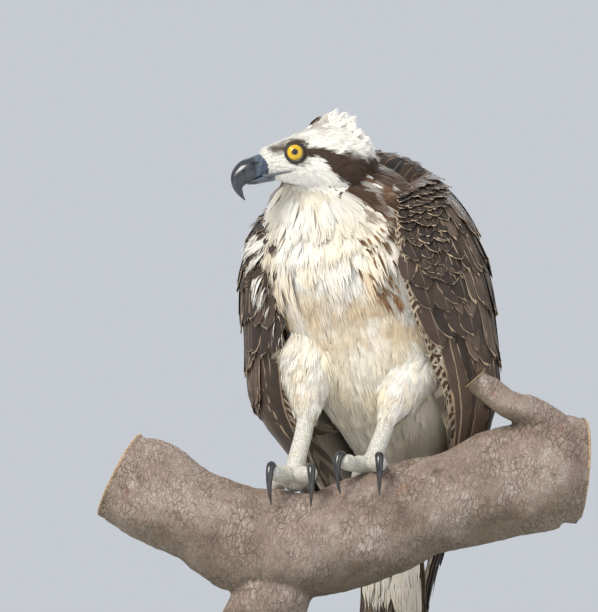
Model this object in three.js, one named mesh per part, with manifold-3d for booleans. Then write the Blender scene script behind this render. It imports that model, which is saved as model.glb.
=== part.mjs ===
// Osprey gripping a cut length of branch, held up by a plain display base and rod.
// Life size, in millimetres, +Z up. The breast faces -Y and the bill points to -X.
// The origin is the centre of the base's underside.

import * as THREE from "three";
import { mergeVertices } from "three/addons/utils/BufferGeometryUtils.js";
import Module from "manifold-3d";

const wasm = await Module();
wasm.setup();

// Driving sizes. Everything on the bird is placed from the level where the feet stand on the branch.
const FEET_ABOVE_FLOOR = 212;
const BASE_CENTRE = [-10, 50];
const BASE_SIZE = [340, 260, 14];
const ROD_RADIUS = 10;
const BODY_YAW = THREE.MathUtils.degToRad(25);
const BODY_PLACE = [0, 34];
const REAR_SWAY = 34;
const SWAY_TOP = 40;
const SWAY_SPAN = 220;
const EYE_RADIUS = 9;
const TALON_RADIUS = 3.7;
const TOE_RADIUS = 6.6;
const GAP = 0.35;
const VANE_THICKNESS = 1.1;
const VANE_EDGE = 0.6;
const TIP_ROUNDING = 0.14;

const COLOURS = {
  white: 0xece7da,
  brown: 0x3d2c22,
  barred: 0x6b5138,
  horn: 0x23262c,
  iris: 0xf2c500,
  skin: 0xc9cbbf,
  bark: 0xa58f80,
  base: 0x3a3a3c,
};

const vector = (x, y, z) => new THREE.Vector3(x, y, z);
const mix = THREE.MathUtils.lerp;

// A smooth curve through rows of numbers, read with s from 0 to 1.
function spline(rows) {
  const last = rows.length - 1;
  const row = (k) => rows[Math.min(Math.max(k, 0), last)];
  return (s) => {
    const x = Math.min(Math.max(s, 0), 1) * last;
    const i = Math.min(Math.floor(x), last - 1);
    const t = x - i;
    const [a, b, c, d] = [row(i - 1), row(i), row(i + 1), row(i + 2)];
    return b.map(
      (value, k) =>
        0.5 *
        (2 * value +
          (c[k] - a[k]) * t +
          (2 * a[k] - 5 * value + 4 * c[k] - d[k]) * t * t +
          (3 * value - a[k] - 3 * c[k] + d[k]) * t * t * t),
    );
  };
}

// How wide a vane is from its root to its tip, as a share of its greatest width.
const vaneShape = spline([[0.6], [0.9], [1], [0.95], [0.45]]);

// The row of a curve where one of its numbers, which grows along it, reaches a value.
function rowAt(guide, column, value) {
  let [low, high] = [0, 1];
  for (let i = 0; i < 20; i += 1) {
    const middle = (low + high) / 2;
    if (guide(middle)[column] < value) low = middle;
    else high = middle;
  }
  return guide(low);
}

// The bird's own frame: forward, to its left, and up from the level of the feet.
const FORWARD = vector(-Math.sin(BODY_YAW), -Math.cos(BODY_YAW), 0);
const LEFT = vector(Math.cos(BODY_YAW), -Math.sin(BODY_YAW), 0);

function sway(up) {
  return up < SWAY_TOP ? (-REAR_SWAY * (SWAY_TOP - up)) / SWAY_SPAN : 0;
}

function bodyPoint(ahead, left, up) {
  return vector(BODY_PLACE[0], BODY_PLACE[1], up)
    .addScaledVector(FORWARD, ahead)
    .addScaledVector(LEFT, left + sway(up));
}

// Turns a three.js geometry into a solid, whichever way its faces point.
function solid(geometry) {
  const bare = new THREE.BufferGeometry();
  bare.setAttribute("position", geometry.getAttribute("position"));
  if (geometry.index) bare.setIndex(geometry.index);
  const merged = mergeVertices(bare, 1e-4);
  const corners = new Uint32Array(merged.index.array);
  const places = new Float32Array(merged.attributes.position.array);
  const made = new wasm.Manifold(
    new wasm.Mesh({ numProp: 3, vertProperties: places, triVerts: corners }),
  );
  if (made.volume() >= 0) return made;
  for (let i = 0; i < corners.length; i += 3) {
    [corners[i + 1], corners[i + 2]] = [corners[i + 2], corners[i + 1]];
  }
  return new wasm.Manifold(
    new wasm.Mesh({ numProp: 3, vertProperties: places, triVerts: corners }),
  );
}

function geometryOf(made) {
  const mesh = made.getMesh();
  const geometry = new THREE.BufferGeometry();
  geometry.setAttribute(
    "position",
    new THREE.BufferAttribute(mesh.vertProperties.slice(), 3),
  );
  geometry.setIndex(new THREE.BufferAttribute(mesh.triVerts.slice(), 1));
  geometry.computeVertexNormals();
  return geometry;
}

function joined(pieces) {
  return pieces.reduce((all, piece) => all.add(piece));
}

function without(piece, ...cutters) {
  return cutters.reduce((rest, cutter) => rest.subtract(cutter), piece);
}

function largest(made) {
  return made.decompose().reduce((a, b) => (b.volume() > a.volume() ? b : a));
}

// Rings along a path, with a flat or rounded cap at each end.
function stations(steps, domes) {
  const cap = (s, dome) =>
    dome === 0
      ? [{ s, share: 0, shift: 0 }]
      : [
          { s, share: 0, shift: dome },
          { s, share: 0.72, shift: 0.7 * dome },
        ];
  const rings = Array.from({ length: steps + 1 }, (_, i) => ({
    s: i / steps,
    share: 1,
    shift: 0,
  }));
  return [...cap(0, -domes[0]), ...rings, ...cap(1, domes[1]).reverse()];
}

// A closed body of rings along a path. Each row of the path is x, y, z, half width, depth in front
// and depth behind. The side vector says which way the width runs.
function loft(rows, side, options = {}) {
  const { around = 14, steps = 10, domes = [0, 0], grow = 0, relief } = options;
  const path = spline(rows);
  const rings = stations(
    steps,
    domes.map((dome) => (dome === 0 ? 0 : dome + grow)),
  );
  const ball = new THREE.SphereGeometry(1, around, rings.length - 1);
  const uv = ball.getAttribute("uv");
  const position = ball.getAttribute("position");
  const step = 0.01;
  for (let i = 0; i < position.count; i += 1) {
    const ring = rings[Math.round((1 - uv.getY(i)) * (rings.length - 1))];
    const angle = Math.round(uv.getX(i) * around) * ((2 * Math.PI) / around);
    const here = path(ring.s);
    const before = path(Math.max(ring.s - step, 0));
    const after = path(Math.min(ring.s + step, 1));
    const along = vector(
      after[0] - before[0],
      after[1] - before[1],
      after[2] - before[2],
    ).normalize();
    const across = side.clone().addScaledVector(along, -side.dot(along));
    across.normalize();
    const front = across.clone().cross(along);
    const extra = grow + (relief ? relief(ring.s, angle) : 0);
    const width = (here[3] + extra) * ring.share * Math.sin(angle);
    const depth = Math.cos(angle) > 0 ? here[4] : here[5];
    const place = vector(here[0], here[1], here[2])
      .addScaledVector(along, ring.shift)
      .addScaledVector(across, width)
      .addScaledVector(front, (depth + extra) * ring.share * Math.cos(angle));
    position.setXYZ(i, place.x, place.y, place.z);
  }
  return solid(ball);
}

// A closed sheet with an outer and an inner face that are split into the same triangles.
function sheet(outer, inner, across, along) {
  const places = [];
  const corners = [];
  const row = across + 1;
  const face = row * (along + 1);
  for (const side of [outer, inner]) {
    for (let j = 0; j <= along; j += 1) {
      for (let i = 0; i <= across; i += 1) {
        places.push(...side(i / across, j / along).toArray());
      }
    }
  }
  for (let j = 0; j < along; j += 1) {
    for (let i = 0; i < across; i += 1) {
      const [a, b] = [j * row + i, j * row + i + 1];
      const [c, d] = [a + row, b + row];
      corners.push(a, b, d, a, d, c);
      corners.push(face + a, face + d, face + b, face + a, face + c, face + d);
    }
  }
  const rim = [];
  for (let i = 0; i < across; i += 1) rim.push(i);
  for (let j = 0; j < along; j += 1) rim.push(j * row + across);
  for (let i = across; i > 0; i -= 1) rim.push(along * row + i);
  for (let j = along; j > 0; j -= 1) rim.push(j * row);
  rim.forEach((a, k) => {
    const b = rim[(k + 1) % rim.length];
    corners.push(a, face + a, face + b, a, face + b, b);
  });
  const geometry = new THREE.BufferGeometry();
  geometry.setAttribute(
    "position",
    new THREE.Float32BufferAttribute(places, 3),
  );
  geometry.setIndex(corners);
  return solid(geometry);
}

// A feather vane that lies on a surface, from its root to its rounded tip. The surface gives a
// point for a place across it, a place along it and a height over it. A vane with a bed is filled
// down to that height, like a shingle.
function vane(surface, feather, grow = 0) {
  const { from, to, width, low, high, bed, tilt = 0.9, along = 4 } = feather;
  const half = (v) => 0.5 * width * vaneShape(v)[0] + grow;
  const thick = (v) => mix(VANE_THICKNESS, VANE_EDGE, v) / 2 + grow;
  const place = (u, v, over, filled = false) => {
    const share = 2 * u - 1;
    const s = mix(from[0], to[0], v - TIP_ROUNDING * v ** 3 * share ** 2);
    const middle = mix(from[1], to[1], v);
    const step = 0.01;
    const perStep = surface(middle + step, s, 0).distanceTo(surface(middle - step, s, 0));
    const t = middle + (share * half(v) * 2 * step) / Math.max(perStep, 0.05);
    const level = mix(low, high, v) - tilt * share + over;
    return surface(t, s, filled ? Math.min(bed - grow, level) : level);
  };
  return sheet(
    (u, v) => place(u, v, thick(v)),
    (u, v) => place(u, v, -thick(v), bed !== undefined),
    2,
    along,
  );
}

function ball(centre, radius, around) {
  const made = new THREE.SphereGeometry(radius, around, around / 2);
  return solid(made.translate(centre.x, centre.y, centre.z));
}

// A box with one face through a point, reaching away against the normal.
function halfSpace(point, normal, reach = 700) {
  const box = new THREE.BoxGeometry(reach, reach, reach);
  box.translate(0, 0, -reach / 2);
  const turn = new THREE.Quaternion().setFromUnitVectors(
    vector(0, 0, 1),
    normal.clone().normalize(),
  );
  box.applyQuaternion(turn);
  return solid(box.translate(point.x, point.y, point.z));
}

// Trunk from the tail root up to the nape: x, y, z, half width, depth in front, depth behind.
const TRUNK = [
  [27, 126, -50, 12, 5, 5],
  [29, 112, -8, 26, 14, 11],
  [29, 94, 32, 42, 28, 20],
  [22, 72, 70, 57, 44, 36],
  [9, 50, 112, 69, 56, 50],
  [-2, 36, 154, 77, 61, 58],
  [-14, 24, 194, 81, 65, 63],
  [-25, 13, 230, 73, 60, 62],
  [-36, -3, 254, 51, 45, 46],
  [-46, -22, 270, 27, 24, 22],
];
const NECK_CUT = [vector(-26, 7, 238), vector(-0.42, -0.35, 0.84)];
const MANTLE = [16, 50, 214];
const MANTLE_RADII = [61, 51, 79];

function trunk(grow = 0) {
  const body = loft(TRUNK, LEFT, {
    around: 20,
    steps: 14,
    domes: [3, 6],
    grow,
  });
  const hump = new THREE.SphereGeometry(1, 16, 10);
  hump.scale(...MANTLE_RADII.map((radius) => radius + grow));
  hump.translate(...MANTLE);
  return body.add(solid(hump));
}

// Long soft locks of the breast hang over the edge of the right wing.
const BIB = { count: 4, top: 222, step: 17, length: 34, reach: 15, width: 8 };
const trunkGuide = spline(TRUNK);

// A point on the right side of the breast: its height, the angle round to the front and the
// distance out from the skin.
function breastPoint(up, angle, out) {
  const [x, y, z, width, front] = rowAt(trunkGuide, 2, up);
  return vector(x, y, z)
    .addScaledVector(LEFT, -(width + out) * Math.cos(angle))
    .addScaledVector(FORWARD, (front + out) * Math.sin(angle));
}

function bib(grow = 0) {
  const { count, top, step, length, reach, width } = BIB;
  return Array.from({ length: count }, (_, i) => {
    const angle = 0.35 + 0.28 * (i % 2) + 0.05 * i;
    const up = top - step * i;
    const rows = [
      [0, -6, 0.8, 3],
      [0.4, 0.4 * reach, 1, 2.5],
      [0.75, 0.85 * reach, 0.7, 1.8],
      [1, reach, 0.15, 0.6],
    ].map(([share, out, breadth, thick]) => [
      ...breastPoint(up - share * length, angle, out).toArray(),
      width * breadth,
      thick,
      thick,
    ]);
    return loft(rows, FORWARD, { around: 4, steps: 3, grow });
  });
}

// Head along the line of the bill. Rows run from the back of the head to the root of the bill.
const HEAD_YAW = THREE.MathUtils.degToRad(12);
const HEAD_DIP = THREE.MathUtils.degToRad(10);
const HEAD_CENTRE = vector(-67, -30, 283);
const HEAD_ALONG = vector(
  -Math.cos(HEAD_YAW) * Math.cos(HEAD_DIP),
  -Math.sin(HEAD_YAW) * Math.cos(HEAD_DIP),
  -Math.sin(HEAD_DIP),
);
const HEAD_LEFT = vector(Math.sin(HEAD_YAW), -Math.cos(HEAD_YAW), 0);
const HEAD_UP = HEAD_ALONG.clone().cross(HEAD_LEFT);

// A point from the middle of the head: along to the bill, to the head's left, and up.
function headPoint(ahead, left, up) {
  return HEAD_CENTRE.clone()
    .addScaledVector(HEAD_ALONG, ahead)
    .addScaledVector(HEAD_LEFT, left)
    .addScaledVector(HEAD_UP, up);
}

// ahead, up, half width, depth below, depth above
const HEAD = [
  [-62, -20, 15, 16, 14],
  [-50, -15, 24, 34, 25],
  [-34, -13, 26, 34, 29],
  [-17, -10, 24, 30, 26],
  [0, -9, 20.5, 25, 21],
  [15, -9, 15.5, 20, 17],
  [28, -10, 10.5, 14.5, 13.5],
];

const headGuide = spline(HEAD);

function headWidth(ahead) {
  return rowAt(headGuide, 0, ahead)[2];
}

function headTop(ahead, left) {
  const [, up, width, , above] = rowAt(headGuide, 0, ahead);
  return up + above * Math.sqrt(Math.max(1 - (left / width) ** 2, 0));
}

function headCore(grow = 0) {
  const rows = HEAD.map(([ahead, up, width, below, above]) => [
    ...headPoint(ahead, 0, up).toArray(),
    width,
    below,
    above,
  ]);
  return loft(rows, HEAD_LEFT, {
    around: 16,
    steps: 10,
    domes: [9, 0],
    grow,
  });
}

const EYE_PLACE = [0.5, 13, -7];

function eyeCentre(side) {
  return headPoint(EYE_PLACE[0], side * EYE_PLACE[1], EYE_PLACE[2]);
}

// A raised rim round the eye, under a short brow.
const LID_RADIUS = 9.4;
const LID_THICKNESS = 1.5;
const LID_OUT = 3.4;

function lid(side, grow = 0) {
  const ring = new THREE.TorusGeometry(LID_RADIUS, LID_THICKNESS + grow, 4, 12);
  ring.rotateX(Math.PI / 2);
  const brow = new THREE.SphereGeometry(1, 7, 4);
  brow.scale(11 + grow, 2.6 + grow, 2.4 + grow);
  brow.rotateY(THREE.MathUtils.degToRad(-8));
  brow.translate(3, side * 1.2, 8.5);
  const [ahead, left, up] = EYE_PLACE;
  const frame = new THREE.Matrix4().makeBasis(HEAD_ALONG, HEAD_LEFT, HEAD_UP);
  frame.setPosition(headPoint(ahead, side * (left + LID_OUT), up));
  return solid(ring.applyMatrix4(frame)).add(solid(brow.applyMatrix4(frame)));
}

// The line of the mouth runs back from the bill into the cheek.
const MOUTH_LINE = { from: 6, to: 33, depth: 3, height: 1, up: -19.5, slope: 0.06 };

function mouthLine(side) {
  const { from, to, depth, height, up, slope } = MOUTH_LINE;
  const face = (rise) => (u, v) => {
    const ahead = mix(from, to, v);
    const width = headWidth(ahead) - depth + 3 * depth * u;
    return headPoint(ahead, side * width, up - slope * (ahead - from) + rise);
  };
  return sheet(face(height / 2), face(-height / 2), 1, 3);
}

function nostril(side) {
  const slit = new THREE.SphereGeometry(1, 8, 5);
  slit.scale(4.4, 2, 1);
  slit.rotateY(THREE.MathUtils.degToRad(12));
  const frame = new THREE.Matrix4().makeBasis(HEAD_ALONG, HEAD_LEFT, HEAD_UP);
  frame.setPosition(headPoint(33, side * 8.6, -10.5));
  return solid(slit.applyMatrix4(frame));
}

// Crest: rows of locks from the crown back to the nape, each bending up and back.
const CREST_ROWS = [
  { ahead: -30, count: 2, spread: 6, reach: 17, rise: 9 },
  { ahead: -42, count: 3, spread: 11, reach: 17, rise: 10 },
  { ahead: -52, count: 2, spread: 7, reach: 15, rise: 4 },
];

function crest() {
  return CREST_ROWS.flatMap(({ ahead, count, spread, reach, rise }, row) =>
    Array.from({ length: count }, (_, i) => {
      const left = spread * (count === 1 ? 0 : (2 * i) / (count - 1) - 1);
      const up = headTop(ahead, left);
      const far = reach * (1 + 0.22 * Math.sin(2.3 * i + 1.7 * row));
      const rows = [
        [5, -5, 4.6, 1.8],
        [-0.35 * far, 0.5 + 0.3 * rise, 5, 1.5],
        [-0.72 * far, 0.8 * rise, 3.6, 1],
        [-far, 1.15 * rise, 0.9, 0.4],
      ].map(([back, lift, width, thick]) => [
        ...headPoint(ahead + back, left * (1 - back / 60), up + lift).toArray(),
        width,
        thick,
        thick,
      ]);
      return loft(rows, HEAD_LEFT, { around: 4, steps: 3 });
    }),
  );
}

// Wing surface in the bird's frame, for its left side: front edge, outer ridge and back edge,
// each as rows of ahead, left, up from the shoulder to the tip.
const WING_FRONT = [
  [40, 48, 250],
  [66, 60, 215],
  [60, 66, 170],
  [30, 70, 120],
  [-8, 74, 70],
  [-54, 60, 10],
  [-112, 24, -78],
  [-142, 10, -176],
];
const WING_RIDGE = [
  [-8, 58, 274],
  [10, 93, 234],
  [6, 112, 185],
  [-8, 114, 130],
  [-30, 106, 72],
  [-75, 66, 5],
  [-122, 27, -80],
  [-150, 12, -181],
];
const WING_BACK = [
  [-48, 22, 272],
  [-62, 30, 225],
  [-76, 32, 175],
  [-90, 30, 120],
  [-102, 28, 62],
  [-118, 24, -5],
  [-140, 12, -86],
  [-154, 6, -182],
];
const WING_DEPTH = [15, 22, 20, 15, 11, 7, 4.5, 2.5].map((depth) => [depth]);

// The right wing hangs a little looser than the left one.
const RIGHT_DROOP = [12, 7];
const DROOP_AT = 0.64;
const DROOP_WIDTH = 0.15;

const wingGuides = [WING_FRONT, WING_RIDGE, WING_BACK].map(spline);
const wingDepth = spline(WING_DEPTH);

// s runs from the shoulder to the tip, t from the front edge round to the back edge. Past an edge
// the surface goes straight on for a short way.
const EDGE_REACH = 0.05;

function wingPlace(side, s, t) {
  const [front, ridge, back] = wingGuides.map((guide) => guide(s));
  const droop = side < 0 ? Math.exp(-(((s - DROOP_AT) / DROOP_WIDTH) ** 2)) : 0;
  const [droopAhead, droopOut] = RIGHT_DROOP.map((most) => most * droop);
  const edge = Math.min(Math.max(t, 0), 1);
  const past = EDGE_REACH * Math.tanh((t - edge) / EDGE_REACH);
  const row = ridge.map((middle, k) => {
    const pull = 2 * middle - (front[k] + back[k]) / 2;
    const before = mix(front[k], pull, edge);
    const after = mix(pull, back[k], edge);
    return mix(before, after, edge) + 2 * (after - before) * past;
  });
  return bodyPoint(row[0] + droopAhead, side * (row[1] + droopOut), row[2]);
}

function wingNormal(side, s, t) {
  const step = 0.01;
  const down = wingPlace(side, Math.min(s + step, 1), t).sub(
    wingPlace(side, Math.max(s - step, 0), t),
  );
  const round = wingPlace(side, s, t + step).sub(wingPlace(side, s, t - step));
  return round.cross(down).multiplyScalar(-side).normalize();
}

function wingPoint(side, s, t, lift) {
  return wingPlace(side, s, t).addScaledVector(wingNormal(side, s, t), lift);
}

// The wing's body ends short of the tip, where only the flight feathers reach on.
const WING_BODY_END = 0.84;
const WING_SET_IN = 1.5;
const WING_ROOM = 6;

function wingBody(side, grow = 0, end = WING_BODY_END) {
  const inner = (s, t) =>
    1 + wingDepth(s)[0] * Math.sqrt(Math.max(Math.sin(Math.PI * t), 0));
  const spread = (t) => t + (t - 0.5) * grow * 0.02;
  const place = (t, v, over) => wingPoint(side, end * v, spread(t), over - WING_SET_IN);
  return sheet(
    (t, v) => place(t, v, grow),
    (t, v) => place(t, v, -inner(end * v, t) - grow),
    5,
    8,
  );
}

// Tiers of wing feathers, from the shoulder down: where the roots and the tips lie along the wing,
// how many stand side by side, how wide they are and how far their tips stand off the wing.
const WING_TIERS = [
  { from: 0.03, to: 0.145, count: 4, width: 38, high: 2.8, along: 2 },
  { from: 0.115, to: 0.235, count: 5, width: 41, high: 2.8, along: 2 },
  { from: 0.205, to: 0.335, count: 5, width: 44, high: 2.9, along: 2 },
  { from: 0.305, to: 0.45, count: 5, width: 46, high: 3, along: 3 },
  { from: 0.42, to: 0.7, count: 5, width: 46, high: 3.2, along: 3, stagger: 0.13 },
];
const SHINGLE_TIERS = 4;
const WING_BED = -2;
const PRIMARIES = { count: 4, from: 0.64, to: 1, stagger: 0.06, width: 26, layer: 2.1 };

function wingFeathers(side) {
  const feathers = WING_TIERS.flatMap((tier, row) =>
    Array.from({ length: tier.count }, (_, i) => {
      const t = (i + (row % 2 ? 0.62 : 0.38)) / tier.count;
      const tip = tier.to + (tier.stagger ?? 0) * (i / (tier.count - 1));
      return {
        from: [tier.from, t],
        to: [tip + 0.006 * Math.sin(2.1 * i + row), t + 0.02],
        width: tier.width,
        low: -3,
        high: tier.high,
        bed: row < SHINGLE_TIERS ? WING_BED : undefined,
        along: tier.along,
      };
    }),
  );
  const { count, from, to, stagger, width, layer } = PRIMARIES;
  for (let i = 0; i < count; i += 1) {
    const t = 0.14 + (0.7 * i) / (count - 1);
    feathers.push({
      from: [from, t],
      to: [to - stagger * i, 0.35 + 0.08 * i],
      width,
      low: -5 + 0.4 * i,
      high: -3 + layer * i,
      tilt: 0.2,
      along: 3,
    });
  }
  return feathers;
}

function wing(side, grow = 0) {
  const surface = (t, s, over) => wingPoint(side, s, t, over - WING_SET_IN);
  const vanes = wingFeathers(side).map((feather) => vane(surface, feather, grow));
  return joined([wingBody(side, grow), ...vanes]);
}

// Tail from its root to the tip: ahead, left, up and half width, with its feathers fanned on it.
const TAIL = [
  [-52, 0, 66, 17],
  [-66, 0, 34, 23],
  [-84, 0, -20, 27],
  [-102, 0, -78, 30],
  [-118, 0, -132, 33],
  [-125, 0, -156, 34],
];
const TAIL_BODY_END = 0.55;
const TAIL_BODY_DEPTH = 16;
const TAIL_CROWN = 7;
const TAIL_LEAN = [0.95, 0.3];
const TAIL_FEATHERS = { count: 6, from: 0.26, to: 1, width: 21, layer: 1.25 };

const tailGuide = spline(TAIL);

// The tail's surface, gently arched across: t runs from its right edge to its left one.
function tailPoint(t, s, over) {
  const [ahead, left, up, half] = tailGuide(s);
  const share = 2 * t - 1;
  const [back, down] = TAIL_LEAN.map((part) => part * over);
  return bodyPoint(ahead + TAIL_CROWN * share ** 2 - back, left + share * half, up - down);
}

function tailBody(grow = 0) {
  const place = (t, v, over) => tailPoint(mix(0.12, 0.88, t), TAIL_BODY_END * v, over);
  const depth = (t, v) => (TAIL_BODY_DEPTH - 12 * v) * (0.3 + 0.7 * Math.sin(Math.PI * t));
  return sheet(
    (t, v) => place(t, v, 1 + grow),
    (t, v) => place(t, v, -depth(t, v) - grow),
    4,
    4,
  );
}

function tail(grow = 0) {
  const { count, from, to, width, layer } = TAIL_FEATHERS;
  const vanes = Array.from({ length: count }, (_, i) => {
    const share = (2 * i) / (count - 1) - 1;
    const order = share < 0 ? 2 * i : 2 * (count - 1 - i) + 1;
    const feather = {
      from: [from, 0.5 + 0.3 * share],
      to: [to - 0.03 * Math.abs(share), 0.5 + 0.4 * share],
      width,
      low: -2.5,
      high: layer * order,
      tilt: 0,
      along: 4,
    };
    return vane(tailPoint, feather, grow);
  });
  return joined([tailBody(grow), ...vanes]);
}

// Legs, each row x, y, z, half width, depth in front and depth behind, for the left and the right.
const THIGHS = {
  left: [
    [36, 30, 134, 28, 24, 22],
    [33, 18, 108, 28, 28, 26],
    [26, 9, 80, 21, 20, 20],
    [16, 5, 58, 11.5, 11, 11],
  ],
  right: [
    [-44, 42, 134, 28, 24, 22],
    [-50, 26, 106, 26, 28, 26],
    [-53, 16, 80, 19, 19, 19],
    [-53, 11, 60, 11, 10.5, 10.5],
  ],
};
const TARSI = {
  left: [
    [17, 7, 62, 8, 8, 8],
    [11, 4, 44, 7.5, 7.5, 7.5],
    [5, 1, 28, 8, 8, 8],
    [2, 0, 19, 9, 9, 9],
  ],
  right: [
    [-53, 13, 64, 8, 8, 8],
    [-57, 7, 42, 7.5, 7.5, 7.5],
    [-62, 1, 22, 8, 8, 8],
    [-64, -1, 11, 9, 9, 9],
  ],
};
const PALMS = { left: vector(1, -2, 15), right: vector(-64, -2, 6) };
const PALM_RADIUS = 12;

// Toes as offsets from the palm: two reach forward over the branch and two behind it.
const TOES = {
  left: [
    { name: "inner", path: [[0, 0, 0], [-11, -14, 1], [-20, -27, 1], [-25, -35, 3]] },
    { name: "middle", path: [[0, 0, 0], [3, -15, 1], [5, -29, 0], [5, -38, 2]] },
    { name: "outer", path: [[0, 0, 0], [10, 13, -1], [15, 25, -7], [17, 34, -15]] },
    { name: "hind", path: [[0, 0, 0], [-7, 13, -1], [-10, 24, -7], [-11, 32, -15]] },
  ],
  right: [
    { name: "inner", path: [[0, 0, 0], [7, -14, 1], [12, -28, 0], [13, -37, 2]] },
    { name: "middle", path: [[0, 0, 0], [-8, -14, 1], [-15, -27, 1], [-18, -36, 3]] },
    { name: "outer", path: [[0, 0, 0], [-10, 13, -1], [-15, 25, -7], [-17, 34, -15]] },
    { name: "hind", path: [[0, 0, 0], [7, 13, -1], [10, 24, -7], [11, 32, -15]] },
  ],
};

function leg(rows, grow, domes) {
  return loft(rows, LEFT, { around: 10, steps: 4, domes, grow });
}

function palm(side, grow = 0) {
  return ball(PALMS[side], PALM_RADIUS + grow, 10);
}

function toe(side, { path }, grow = 0) {
  const rows = path.map(([x, y, z], i) => [
    PALMS[side].x + x,
    PALMS[side].y + y,
    PALMS[side].z + z,
    ...Array(3).fill(TOE_RADIUS * [1.15, 1, 0.95, 0.9][i]),
  ]);
  return loft(rows, vector(1, 0, 0.01), {
    around: 8,
    steps: 4,
    domes: [2, 4],
    grow,
  });
}

// A talon leaves the toe's end, arcs out and down, and its point turns back to the bark.
function talon(side, { path }, grow = 0) {
  const [root, end] = [path[2], path[3]].map(([x, y, z]) =>
    vector(x, y, z).add(PALMS[side]),
  );
  const out = end.clone().sub(root).setZ(0).normalize();
  const reach = [-3, 5, 9, 8.5, 4];
  const drop = [2, 4, -6, -17, -28];
  const size = [0.9, 1, 0.78, 0.48, 0.14];
  const rows = reach.map((far, i) => [
    ...end
      .clone()
      .addScaledVector(out, far)
      .add(vector(0, 0, drop[i]))
      .toArray(),
    ...Array(3).fill(TALON_RADIUS * size[i]),
  ]);
  const side2 = out.clone().cross(vector(0, 0, 1));
  return loft(rows, side2, { around: 6, steps: 6, domes: [1, 0.6], grow });
}

// The branch, from its left cut end to its right one: x, y, z and radius.
const PERCH = [
  [-212, 6, 10, 39],
  [-184, 4, -5, 44],
  [-144, 0, -27, 42],
  [-108, -2, -45, 45],
  [-60, -2, -51, 47],
  [-17, -2, -43, 46],
  [26, -2, -25, 45],
  [68, -2, -13, 44],
  [110, 0, 0, 47],
  [152, 2, 12, 51],
  [178, 4, 11, 44],
];
const FORK = [
  [-66, -2, -46, 34],
  [-80, -1, -84, 36],
  [-90, 2, -112, 35],
  [-95, 4, -134, 34],
  [-99, 5, -156, 34],
];
const FORK_CUT = -138;
const STUB = [
  [158, -10, 38, 22],
  [138, -20, 56, 17],
  [112, -29, 68, 14],
  [92, -33, 82, 12.5],
  [86, -34, 88, 13],
];

function barkRelief(depth, waves) {
  return (s, angle) =>
    depth *
    (Math.sin(waves * s + 2 * angle) * 0.6 +
      Math.sin(1.7 * waves * s - 3 * angle + 1) * 0.4);
}

function limb(rows, depth, waves, around, steps, grow) {
  const full = rows.map(([x, y, z, radius]) => [x, y, z, radius, radius, radius]);
  return loft(full, vector(0, 1, 0.02), {
    around,
    steps,
    grow,
    relief: barkRelief(depth, waves),
  });
}

function perch(grow = 0) {
  const above = halfSpace(vector(0, 0, FORK_CUT), vector(0, 0, -1));
  return joined([
    limb(PERCH, 2.2, 26, 16, 18, grow),
    limb(FORK, 1.8, 14, 14, 6, grow).intersect(above),
    limb(STUB, 1.2, 12, 8, 6, grow),
  ]);
}

function standBase() {
  const [width, depth, height] = BASE_SIZE;
  const corner = 24;
  const bevel = 1.5;
  const [x, y] = [width / 2 - bevel, depth / 2 - bevel];
  const outline = new THREE.Shape();
  outline.moveTo(-x + corner, -y);
  outline.lineTo(x - corner, -y);
  outline.absarc(x - corner, -y + corner, corner, -Math.PI / 2, 0);
  outline.absarc(x - corner, y - corner, corner, 0, Math.PI / 2);
  outline.absarc(-x + corner, y - corner, corner, Math.PI / 2, Math.PI);
  outline.absarc(-x + corner, -y + corner, corner, Math.PI, 1.5 * Math.PI);
  const plate = new THREE.ExtrudeGeometry(outline, {
    depth: height - 2 * bevel,
    bevelThickness: bevel,
    bevelSize: bevel,
    bevelSegments: 1,
    curveSegments: 4,
  });
  plate.translate(
    BASE_CENTRE[0],
    BASE_CENTRE[1],
    bevel - FEET_ABOVE_FLOOR,
  );
  return solid(plate);
}

// The rod stands on the base under the middle of the fork's sawn end.
function standRod() {
  const [x, y] = FORK[3];
  const low = BASE_SIZE[2] - FEET_ABOVE_FLOOR + GAP;
  const high = FORK_CUT - GAP;
  const rod = new THREE.CylinderGeometry(ROD_RADIUS, ROD_RADIUS, high - low, 20);
  rod.rotateX(Math.PI / 2);
  return solid(rod.translate(x, y, (high + low) / 2));
}

// Bill in the head's frame: ahead, up, half width, depth below, depth above.
const BILL_UPPER = [
  [24, -12, 9.5, 10, 11],
  [34, -14, 9, 9, 10.5],
  [42, -15.5, 7.8, 9.5, 10],
  [49, -20, 5.5, 7, 7.5],
  [51.5, -27, 3, 3.6, 4],
  [49.5, -33.5, 1.6, 1.8, 2.2],
  [47, -38.5, 0.5, 0.6, 0.6],
];
const BILL_LOWER = [
  [20, -22.5, 8, 4.5, 3],
  [30, -24.5, 7, 3.6, 2.6],
  [38, -26, 5.5, 2.8, 2.2],
  [43, -27, 3, 1.6, 1.4],
];

function bill(rows, domes, grow = 0) {
  const full = rows.map(([ahead, up, width, below, above]) => [
    ...headPoint(ahead, 0, up).toArray(),
    width,
    below,
    above,
  ]);
  return loft(full, HEAD_LEFT, { around: 12, steps: 9, domes, grow });
}

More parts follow.
